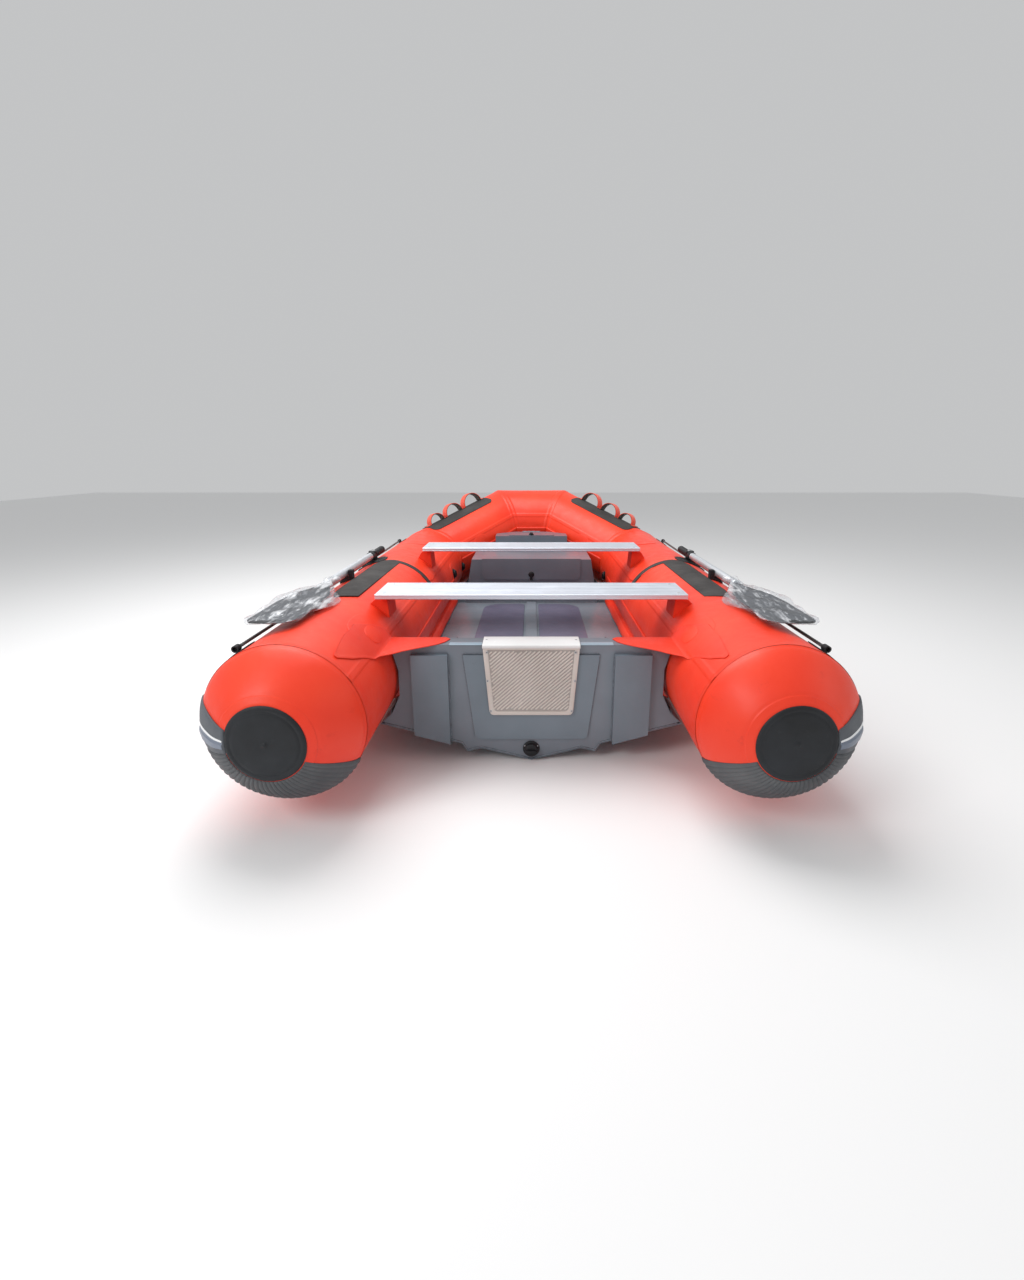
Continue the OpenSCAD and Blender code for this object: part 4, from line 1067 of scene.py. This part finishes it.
# ---------------------------------------------------------------- seats
def seat(name):
    """Extruded seat board with grooves along its top and edges, end plugs and four fixing screws."""
    lo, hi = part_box(name)
    w, h = hi.y - lo.y, hi.z - lo.z
    half, r = (hi.x - lo.x) / 2, 0.003
    edge_groove = [(0.0, h * 0.30), (0.0008, h * 0.34), (0.0008, h * 0.66), (0.0, h * 0.70)]
    profile = list(edge_groove)
    for cy, cz, a0 in ((r, h - r, 180), (w - r, h - r, 90), (w - r, r, 0), (r, r, -90)):
        if a0 == 90:
            for g in (0.012, 0.017, 0.045, 0.052, 0.100, 0.107, 0.154, 0.161, 0.189, 0.194):
                profile += [(g - 0.0012, h), (g - 0.0006, h - 0.0011)]
                profile += [(g + 0.0006, h - 0.0011), (g + 0.0012, h)]
        if a0 == 0:
            profile += [(w - y, z) for y, z in edge_groove[::-1]]
        for k in range(5):
            t = math.radians(a0 - 22.5 * k)
            profile.append((cy + r * math.cos(t), cz + r * math.sin(t)))
    profile = np.array(profile)
    mid = profile.mean(axis=0)
    rings = []
    inner_xs = list(np.linspace(-half + 0.01, half - 0.01, 15))
    for x in [-half, -half + 0.0008] + inner_xs + [half - 0.0008, half]:
        f = 0.994 if abs(x) > half - 0.0004 else 1.0
        rings.append([[x, lo.y + y, lo.z + z] for y, z in mid + (profile - mid) * f])
    b = Build()
    b.loft(rings, caps=True)
    b.make(f"{name}_board", SEAT, body=name, nodes=[name], slot="bare_aluminium", weld=False, smooth=False)
    plugs = Build()
    for s in (-1, 1):
        for k in range(3):
            y = lo.y + w * (k + 0.5) / 3
            rings = []
            for grow, out in ((1.0, 0.0), (1.0, 0.0010), (0.95, 0.0016), (0.5, 0.0016)):
                rings.append([[s * (half + 0.0001) + s * out * 0.6,
                               y + grow * (w / 6 - 0.004) * squared(math.cos(t), 0.3),
                               (lo.z + hi.z) / 2 + grow * (h / 2 - 0.0045) * squared(math.sin(t), 0.3)]
                              for t in turns(24)])
            plugs.loft(rings, caps=True)
        for y in (lo.y + 0.030, hi.y - 0.030):
            plugs.lathe([s * (half - 0.028), y, hi.z - 0.0003], [0, 0, 1],
                        [(0.0052, 0.0), (0.0052, 0.0006), (0.0042, 0.0014), (0.002, 0.0018),
                         (0.0004, 0.0019)], 32, mat=1)
    plugs.make(f"{name}_plugs", [BLACK, STEEL], body=name, slot="black_plastic", weld=False)


seat("seat_rear")
seat("seat_front")


# ---------------------------------------------------------------- oars, their wraps and rowlocks
OAR_X = 0.758
HANDLE_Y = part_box("oar_shaft_starboard")[1].y
K_LO, K_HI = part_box("oar_blade_starboard")
OAR_Z = (K_LO.z + K_HI.z) / 2
OAR_R = 0.016
ROWLOCK_Y = TY + 0.985
ROOT_Y, TIP_Y = TY + 0.330, K_LO.y


# Upper half of the collar that the rowlock's pin goes through: radius, height.
COLLAR = [(0.0060, 0.0195), (0.0150, 0.0195), (0.0188, 0.0180), (0.0200, 0.0150), (0.0200, 0.006),
          (0.0190, 0.004)]


def oar_shaft(b, suffix):
    at = [OAR_X, ROOT_Y - 0.03, OAR_Z]
    end = HANDLE_Y - (ROOT_Y - 0.03)
    profile = [(0.006, 0.0), (OAR_R - 0.001, 0.001), (OAR_R, 0.003)]
    profile += [(OAR_R, h) for h in np.linspace(0.01, 0.62, 12)]
    profile += [(OAR_R, 0.628), (OAR_R + 0.0022, 0.630), (OAR_R + 0.0030, 0.634), (OAR_R + 0.0030, 0.660),
                (OAR_R + 0.0022, 0.664)]
    grip0 = end - 0.165
    for k in range(30):
        h = grip0 + (end - 0.012 - grip0) * k / 30
        profile += [(OAR_R - 0.0006, h), (OAR_R + 0.0010, h + 0.0012), (OAR_R + 0.0010, h + 0.0032),
                    (OAR_R - 0.0006, h + 0.0042)]
    profile += [(OAR_R - 0.001, end - 0.009), (OAR_R - 0.0005, end - 0.005), (OAR_R - 0.003, end - 0.0015),
                (OAR_R - 0.008, end - 0.0003), (0.001, end)]
    mats = [0 if h < 0.6295 else 1 for _, h in profile]
    b.lathe(at, [0, 1, 0], profile, 64,
            mat=lambda rows, cols: [mats[i + 1] for i in range(rows - 1) for _ in range(cols)])
    b.lathe([OAR_X, ROWLOCK_Y, OAR_Z], [0, 0, 1],
            [(r, -h) for r, h in COLLAR] + COLLAR[::-1], 64, mat=1)
    for y in (ROOT_Y + 0.010, ROOT_Y + 0.045):
        b.lathe([OAR_X, y, OAR_Z + OAR_R - 0.0008], [0, 0, 1],
                [(0.0040, 0.0), (0.0040, 0.0010), (0.0030, 0.0018), (0.0003, 0.0021)], 24, mat=2)
    return lambda b: b.make(f"oar_tube_{suffix}", [SHAFT, BLACK, STEEL], body=f"oar_{suffix}",
                            nodes=[f"oar_shaft_{suffix}"], slot="bare_aluminium", weld=False)


both(oar_shaft)

# Blade's outline in mm: distance from its shaft end, then half width.
BLADE_LINE = ([0, 60, 190, 300, 520, 545, 560], [18, 24, 66, 74, 70, 60, 46])


def oar_blade(b, suffix):
    """Flat blade with a spine that fades towards the tip and two ribs on each side of it."""
    length, most = K_HI.y - TIP_Y, 0.0040
    ends = [length - 0.018, length - 0.008, length - 0.002, length]
    pairs = []
    for d in [0, 0.002] + list(np.linspace(0.012, length - 0.03, 60)) + ends:
        half = np.interp(d * 1000, *BLADE_LINE) / 1000
        row = []
        for f in np.linspace(-1, 1, 33):
            x = half * f
            spine = 0.0035 * math.exp(-(x / 0.012) ** 2) * (1 - 0.6 * d / length)
            ribs = sum(math.exp(-((abs(x) - c) / 0.003) ** 2) for c in (0.030, 0.050))
            rib = 0.0011 * ribs * min(1, d / 0.15)
            thick = (0.0028 * (1 - f ** 6) + 0.0003) * (1 - 0.3 * d / length)
            row.append(([OAR_X + x, K_HI.y - d, OAR_Z + min(most, thick * 0.5 + spine * 0.6 + rib)],
                        [OAR_X + x, K_HI.y - d, OAR_Z - min(most, thick * 0.5 + spine * 0.4)]))
        pairs.append(row)
    b.shell(pairs)
    return lambda b: b.make(f"oar_blade_body_{suffix}", BLADE, body=f"oar_{suffix}",
                            nodes=[f"oar_blade_{suffix}"], slot="black_plastic")


both(oar_blade)


def film_noise(p, seed):
    q = Vector((p[0] * 1.6 + p[1] * 0.25 + seed, p[1] * 0.16, p[2] * 2 + seed))
    crumple = noise.voronoi(q * 24.0)[0]
    small = noise.noise(Vector((p[0] * 120 + p[1] * 22, p[1] * 16, p[2] * 90 + seed)))
    return (crumple[1] - crumple[0]) * 0.5 + small * 0.22 - 0.2


def blade_wrap(b, suffix):
    """Loose clear bag over the blade: crumpled, gathered at the neck, its mouth splayed on the tube."""
    seed = 2.0 if suffix == "port" else 9.0
    y0, y1 = TIP_Y - 0.004, ROOT_Y + 0.035
    count, around = 150, 120
    rows = []
    for i in range(count + 1):
        f = i / count
        y = y0 + (y1 - y0) * f
        d = (K_HI.y - y) * 1000
        half = np.interp(max(0, d), *BLADE_LINE) / 1000 + 0.010
        neck = math.exp(-((y - (ROOT_Y - 0.005)) / 0.03) ** 2)
        loose = math.exp(-((y - (TY + 0.10)) / 0.11) ** 2)
        mouth = max(0.0, (y - ROOT_Y) / 0.035)
        half_in = half + 0.030 * loose + 0.010 * mouth - 0.012 * neck
        half_out = half + 0.016 * loose + 0.008 * mouth - 0.012 * neck
        tall = 0.0095 + 0.010 * neck + 0.008 * loose + 0.006 * mouth
        if f < 0.08:
            tall *= 0.2 + 0.8 * f / 0.08
        row = []
        for j in range(around):
            t = 2 * math.pi * j / around
            c, s = math.cos(t), math.sin(t)
            half_w = half_out if c > 0 else half_in
            x = OAR_X + half_w * squared(c, 0.75)
            z = OAR_Z + tall * squared(s, 0.8)
            if c < 0:
                z -= 0.022 * loose * c * c
            rise = film_noise((x, y, z), seed)
            x += 0.006 * rise * c
            upward = s if abs(s) > 0.2 else 0.2 * math.copysign(1, s)
            z += 0.014 * rise * upward + 0.003 * math.sin(50 * y + 30 * x)
            tube = TZ + math.sqrt(max(0.0, (TR + 0.003) ** 2 - (x - TX) ** 2))
            row.append([x, y, max(z, tube + 0.0008 * (1 + s))])
        rows.append(row)
    b.loft(rows)
    b.close(0, around)

    def finish(b):
        bag = b.make(f"clear_bag_{suffix}", FILM, body=f"oar_{suffix}", nodes=[f"blade_wrap_{suffix}"],
                     slot="clear_film", weld=False)
    return finish


both(blade_wrap)


def dress(node, mat, width, segments=3):
    """Keeps a CAD node as it is, with its edges rounded and a finish of its own."""
    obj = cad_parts[node]
    obj.data.materials.clear()
    obj.data.materials.append(mat)
    soften(obj, width, segments)


def rowlock_detail(b, suffix):
    """Stepped rubber base on the tube, a steel washer on top of the collar and the pin's domed head."""
    pin_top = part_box(f"rowlock_{suffix}")[1].z
    tube_oval(b, ROWLOCK_Y, 68, 0.072, 17.5, 0.0058, power=3.4)
    tube_oval(b, ROWLOCK_Y, 68, 0.052, 12.5, 0.0082, power=3.4)
    b.lathe([OAR_X, ROWLOCK_Y, pin_top - 0.004], [0, 0, 1],
            [(0.0052, 0.0), (0.0085, 0.0008), (0.0090, 0.0022), (0.0075, 0.0042), (0.004, 0.0054),
             (0.0005, 0.0058)], 40)
    b.lathe([OAR_X, ROWLOCK_Y, OAR_Z + 0.0198], [0, 0, 1],
            [(0.0054, 0.0), (0.0115, 0.0003), (0.0120, 0.0010), (0.0115, 0.0018), (0.0054, 0.0020)],
            40, mat=1)
    return lambda b: b.make(f"rowlock_fittings_{suffix}", [BLACK, STEEL], slot="black_plastic", weld=False)


both(rowlock_detail)


# ---------------------------------------------------------------- drain, latches, valves
def lobes(count, depth, low, high=1.0):
    """Grip lobes round a turned piece, where its radius is between low and high."""
    return lambda t, r: 1 + (depth * math.cos(count * t) if low < r < high else 0)


def drain():
    """Screwed flange on the transom, and a lobed plug with a finger bar."""
    lo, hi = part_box("drain_flange")
    z, x = (lo.z + hi.z) / 2, (lo.x + hi.x) / 2
    r = (hi.x - lo.x) / 2
    b = Build()
    b.lathe([x, hi.y, z], [0, -1, 0],
            [(0.0172, 0.0), (r, 0.0), (r, 0.0030), (r - 0.0012, 0.0048), (r - 0.004, 0.0058),
             (0.0225, 0.0060), (0.0180, 0.0056), (0.0172, 0.0040)], 72)
    for k in range(3):
        t = 2 * math.pi * (k + 0.25) / 3
        at = [x + 0.0252 * math.cos(t), lo.y + 0.0004, z + 0.0252 * math.sin(t)]
        b.lathe(at, [0, -1, 0], [(0.0026, 0.0), (0.0026, 0.0006), (0.0018, 0.0011), (0.0002, 0.0012)],
                20, mat=1)
    b.make("drain_ring", [BLACK, STEEL], nodes=["drain_flange"], slot="black_plastic", weld=False)
    lo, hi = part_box("drain_plug")
    b = Build()
    depth = hi.y - lo.y
    b.lathe([x, hi.y, z], [0, -1, 0],
            [(0.0158, 0.0), (0.0158, 0.0062), (0.0226, 0.0064), (0.0232, 0.0085), (0.0230, 0.0160),
             (0.0215, 0.0185), (0.012, 0.0192), (0.0005, 0.0194)], 120, ripple=lobes(24, 0.018, 0.02))
    rings, bar_foot = [], 0.0188
    for h in np.linspace(bar_foot, depth, 6):
        wide = 0.0205 * (1 - 0.10 * ((h - bar_foot) / (depth - bar_foot)) ** 2)
        thick = 0.0042 * (1 - 0.25 * ((h - bar_foot) / (depth - bar_foot)) ** 3)
        rings.append([[x + wide * squared(math.cos(t), 0.5), hi.y - h, z + thick * squared(math.sin(t), 0.6)]
                      for t in turns(40)])
    b.loft(rings, caps=True)
    b.make("drain_knob", BLACK, body="drain_plug", nodes=["drain_plug"], slot="black_plastic", weld=False)


drain()


def latch(node, axis):
    """Turn latch: a domed base, a ring and a swinging lever with a finger scoop."""
    lo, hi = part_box(node)
    axis = np.array(axis, float)
    flat = axis[2] > 0.5
    base = np.array([0.0, lo.y + 0.034, lo.z]) if flat else np.array([0.0, hi.y, lo.z + 0.034])
    b = Build()
    b.lathe(base, axis, [(0.0168, 0.0), (0.0170, 0.0030), (0.0160, 0.0052), (0.0120, 0.0062),
                         (0.0112, 0.0068), (0.0108, 0.0105), (0.0095, 0.0112), (0.0005, 0.0114)], 64)
    down = np.array([0, -1.0, 0]) if flat else np.array([0, 0, -1.0])
    side = np.cross(axis, down)
    rings = []
    for f in np.linspace(0, 1, 22):
        reach = -0.0118 + 0.0455 * f
        ends = (min(1, f / 0.06 + 0.4), min(1, (1 - f) / 0.06 + 0.4))
        wide = 0.0088 * (1 - 0.25 * math.sin(math.pi * f) ** 2) * ends[0] * ends[1]
        low, high = 0.0068, 0.0133 - 0.0016 * math.exp(-((f - 0.78) / 0.10) ** 2)
        mid, tall = (low + high) / 2, (high - low) / 2
        rings.append([base + down * reach + axis * (mid + tall * squared(math.sin(t), 0.5))
                      + side * wide * squared(math.cos(t), 0.5) for t in turns(32)])
    b.loft(rings, caps=True)
    b.make(node + "_lever", BLACK, body=node, nodes=[node], slot="black_plastic", weld=False)


latch("locker_latch", [0, -1, 0])
latch("anchor_latch", [0, 0, 1])

# Side of the boat, place along it and height of each valve.
VALVES = {"valve_cap_port_aft": (-1, 1.600, 0.348), "valve_cap_port_fore": (-1, 2.016, 0.316),
          "valve_cap_starboard": (1, 1.766, 0.304)}
valve_rings = Build()
for name, (side, y, z) in VALVES.items():
    a = math.asin((z - TZ) / TR)
    at = np.array([side * (TX - TR * math.cos(a)), TY + y, z])
    axis = np.array([-side * math.cos(a), 0, math.sin(a)])
    valve_rings.lathe(at, axis, [(0.0296, 0.0007), (0.0300, 0.0020), (0.0290, 0.0034), (0.0262, 0.0040),
                                 (0.0245, 0.0050), (0.0236, 0.0050), (0.0005, 0.0050)], 80)
    cap = Build()
    cap.lathe(at, axis, [(0.0205, 0.0056), (0.0226, 0.0062), (0.0226, 0.0120), (0.0216, 0.0138),
                         (0.0196, 0.0146), (0.0150, 0.0143), (0.0005, 0.0141)], 120,
              ripple=lobes(20, 0.025, 0.0215, 0.0230))
    turn = np.stack([np.cross(D_SIDE, axis), D_SIDE, axis], 1)
    rings = []
    for h, wide, thick in ((0.0138, 0.0160, 0.0030), (0.0170, 0.0158, 0.0028), (0.0188, 0.0150, 0.0024),
                           (0.0196, 0.0130, 0.0014)):
        rings.append([at + turn @ np.array([wide * squared(math.cos(t), 0.5),
                                            thick * squared(math.sin(t), 0.6), h]) for t in turns(32)])
    cap.loft(rings, caps=True)
    cap.make(name + "_knob", BLACK, body=name, nodes=[name], slot="black_plastic", weld=False)
valve_rings.make("valve_rings", BLACK, nodes=["valve_seats"], slot="black_plastic", weld=False)


# ---------------------------------------------------------------- metalwork kept from the CAD, welds added
for node, width in (("hull_bottom", 0.0012), ("transom", 0.003), ("transom_panel", 0.002),
                    ("transom_stiffeners", 0.003), ("locker_box", 0.0012), ("foredeck", 0.0012),
                    ("anchor_lid", 0.0010), ("locker_lid", 0.0010)):
    paint = PLATE_LIGHT if node in ("transom", "locker_lid", "anchor_lid") else PLATE
    dress(node, paint, width)
for node in ("floor_deck", "floor_rib"):
    dress(node, FLOOR, 0.0012 if node == "floor_deck" else 0.003)
for node in ("holders_rear", "holders_front"):
    dress(node, RED_SHOE, 0.006, 4)
for node, width in (("rowlock_port", 0.0018), ("rowlock_starboard", 0.0018), ("oar_clips", 0.0025),
                    ("line_eyes", 0.0008)):
    dress(node, BLACK, width)


def bead(b, points, radius=0.0028, step=0.0045):
    """A weld bead: overlapping ripples laid along a line."""
    pts = [np.array(p, float) for p in points]
    rings = []
    for p, q in zip(pts, pts[1:]):
        length = np.linalg.norm(q - p)
        if length < 1e-6:
            continue
        d = (q - p) / length
        side = square_to(d)[0]
        up = np.cross(side, d)
        count = max(4, int(length / step * 4))
        for i in range(count + 1):
            s = length * i / count
            swell = 1.0 + 0.22 * (abs(math.sin(math.pi * s / step)) - 0.5)
            r = radius * swell
            rings.append([p + d * s + r * (side * math.cos(t) + up * math.sin(t))
                          for t in turns(8)])
    b.loft(rings, caps=True)


b = Build()
f_lo, f_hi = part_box("floor_deck")
locker_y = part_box("locker_box")[0].y
floor_top = f_hi.z - 0.003
HULL_SEAM = [(0.012, 0.0065), (0.172, 0.049), (0.221, 0.036), (0.238, 0.066), (0.500, 0.137)]
TRANSOM_SEAMS = [((0.275, 0.085), (0.275, 0.387), 0.0026), ((0.398, 0.108), (0.398, 0.387), 0.0026),
                 ((0.227, 0.386), (0.193, 0.093), 0.0022)]
bead(b, [[s * 0.392, locker_y - 0.001, floor_top + 0.002] for s in (-1, 1)], 0.0028, 0.006)
for s in (-1, 1):
    bead(b, [[s * x, TY - 0.0005, z + 0.002] for x, z in HULL_SEAM], 0.0022, 0.0055)
    for start, end, radius in TRANSOM_SEAMS:
        bead(b, [[s * x, TY - 0.0015, z] for x, z in (start, end)], radius)
    bead(b, [[s * 0.472, y, floor_top + 0.0005] for y in (f_lo.y + 0.006, f_hi.y - 0.006)], 0.0024)
bead(b, [[s * 0.222, TY - 0.0015, 0.3885] for s in (-1, 1)], 0.0022)
b.make("weld_beads", WELD, slot="bare_aluminium", weld=False)

# A rounded tread plate on each side of the floor's middle; its lilac colour is a painted reflection of the
# glossy paint.
b = Build()
middle, half_x, near, far = 0.040, 0.275, f_lo.y + 0.075, locker_y - 0.050
wide_r, small_r = 0.110, 0.030                    # corner radii away from the middle, and beside it
for s in (-1, 1):
    loops = []
    for shrink, z in ((0.0, 0.0004), (0.0006, 0.0013), (0.0030, 0.0016)):
        loop = []
        for cx, cy, r, a0 in ((half_x - wide_r, far - wide_r, wide_r, 0),
                              (middle + small_r, far - small_r, small_r, 90),
                              (middle + small_r, near + small_r, small_r, 180),
                              (half_x - wide_r, near + wide_r, wide_r, 270)):
            for k in range(13):
                t = math.radians(a0 + 90 * k / 12)
                x, y = cx + (r - shrink) * math.cos(t), cy + (r - shrink) * math.sin(t)
                loop.append([s * x, y, f_hi.z + z])
        loops.append(loop)
    b.loft(loops)
    b.close(-52, 52)
b.make("floor_treads", TREAD_REFLECTION_TINT, slot="hull_paint", weld=False)

# Thin lighter strips on the transom's top edge: painted highlight on its upward-facing top.
b = Build()
rail = [(-0.001, -0.001), (-0.001, 0.0009), (0.001, 0.0014), (0.026, 0.0014), (0.028, 0.0009),
        (0.028, -0.001)]
for s in (-1, 1):
    b.loft([[[s * x, TY + y, TOP_Z + z] for y, z in rail] for x in (0.163, 0.164, 0.270, 0.271)],
           caps=True)
b.make("transom_top_highlight_strips", TOP_EDGE_HIGHLIGHT, slot="hull_paint", weld=False)

# ---------------------------------------------------------------- end tags of the lifelines
for suffix in ("port", "starboard"):
    b = Build()
    pairs = []
    for a in np.linspace(43, 53, 14):
        sweep = 0.013 * (1 - 0.12 * math.cos(a))
        section = ((-1, 0.0012), (-0.96, 0.0024), (0, 0.0027), (0.96, 0.0024), (1, 0.0012))
        points = [at_tube(a, TY - 0.300 + sweep * side, lift) for side, lift in section]
        pairs.append([(p, p - 0.0012 * UP) for p in points])
    b.shell(pairs)
    if suffix == "port":
        b.mirror()
    b.make(f"line_tag_{suffix}", TAG, slot="tube_fabric", weld=False)

# ---------------------------------------------------------------- floor and light
stage = bpy.data.meshes.new("stage")
stage.from_pydata([(x, y, -0.002) for x, y in ((-12, -9), (12, -9), (12, 14), (-12, 14))], [], [(0, 1, 2, 3)])
floor = bpy.data.objects.new("stage", stage)
bpy.context.scene.collection.objects.link(floor)
pale = bpy.data.materials.new("pale_floor")
pale.use_nodes = True
paint = pale.node_tree.nodes["Principled BSDF"].inputs
paint["Base Color"].default_value = (0.84, 0.84, 0.84, 1)
paint["Roughness"].default_value = 0.9
stage.materials.append(pale)

bpy.context.scene.view_settings.view_transform = "Standard"
world = bpy.data.worlds.new("studio")
bpy.context.scene.world = world
world.use_nodes = True
sky = world.node_tree.nodes["Background"].inputs
sky["Color"].default_value = (0.98, 0.99, 1.0, 1)
sky["Strength"].default_value = 0.56


def softbox(name, at, aim, size, power):
    """An oblong area light that faces the point aimed at."""
    data = bpy.data.lights.new(name, "AREA")
    data.shape = "RECTANGLE"
    data.size, data.size_y = size
    data.energy = power
    lamp = bpy.data.objects.new(name, data)
    bpy.context.scene.collection.objects.link(lamp)
    lamp.location = at
    lamp.rotation_euler = (Vector(aim) - Vector(at)).to_track_quat("-Z", "Y").to_euler()


softbox("top", (-0.9, 0.3, 3.6), (0, 0, 0.3), (2.6, 3.0), 125)
softbox("key", (-2.6, -3.8, 2.8), (0, -0.6, 0.3), (1.5, 1.5), 62)
softbox("fill", (3.4, -2.4, 2.0), (0, -0.4, 0.3), (2.0, 2.0), 8)

bpy.context.view_layer.update()
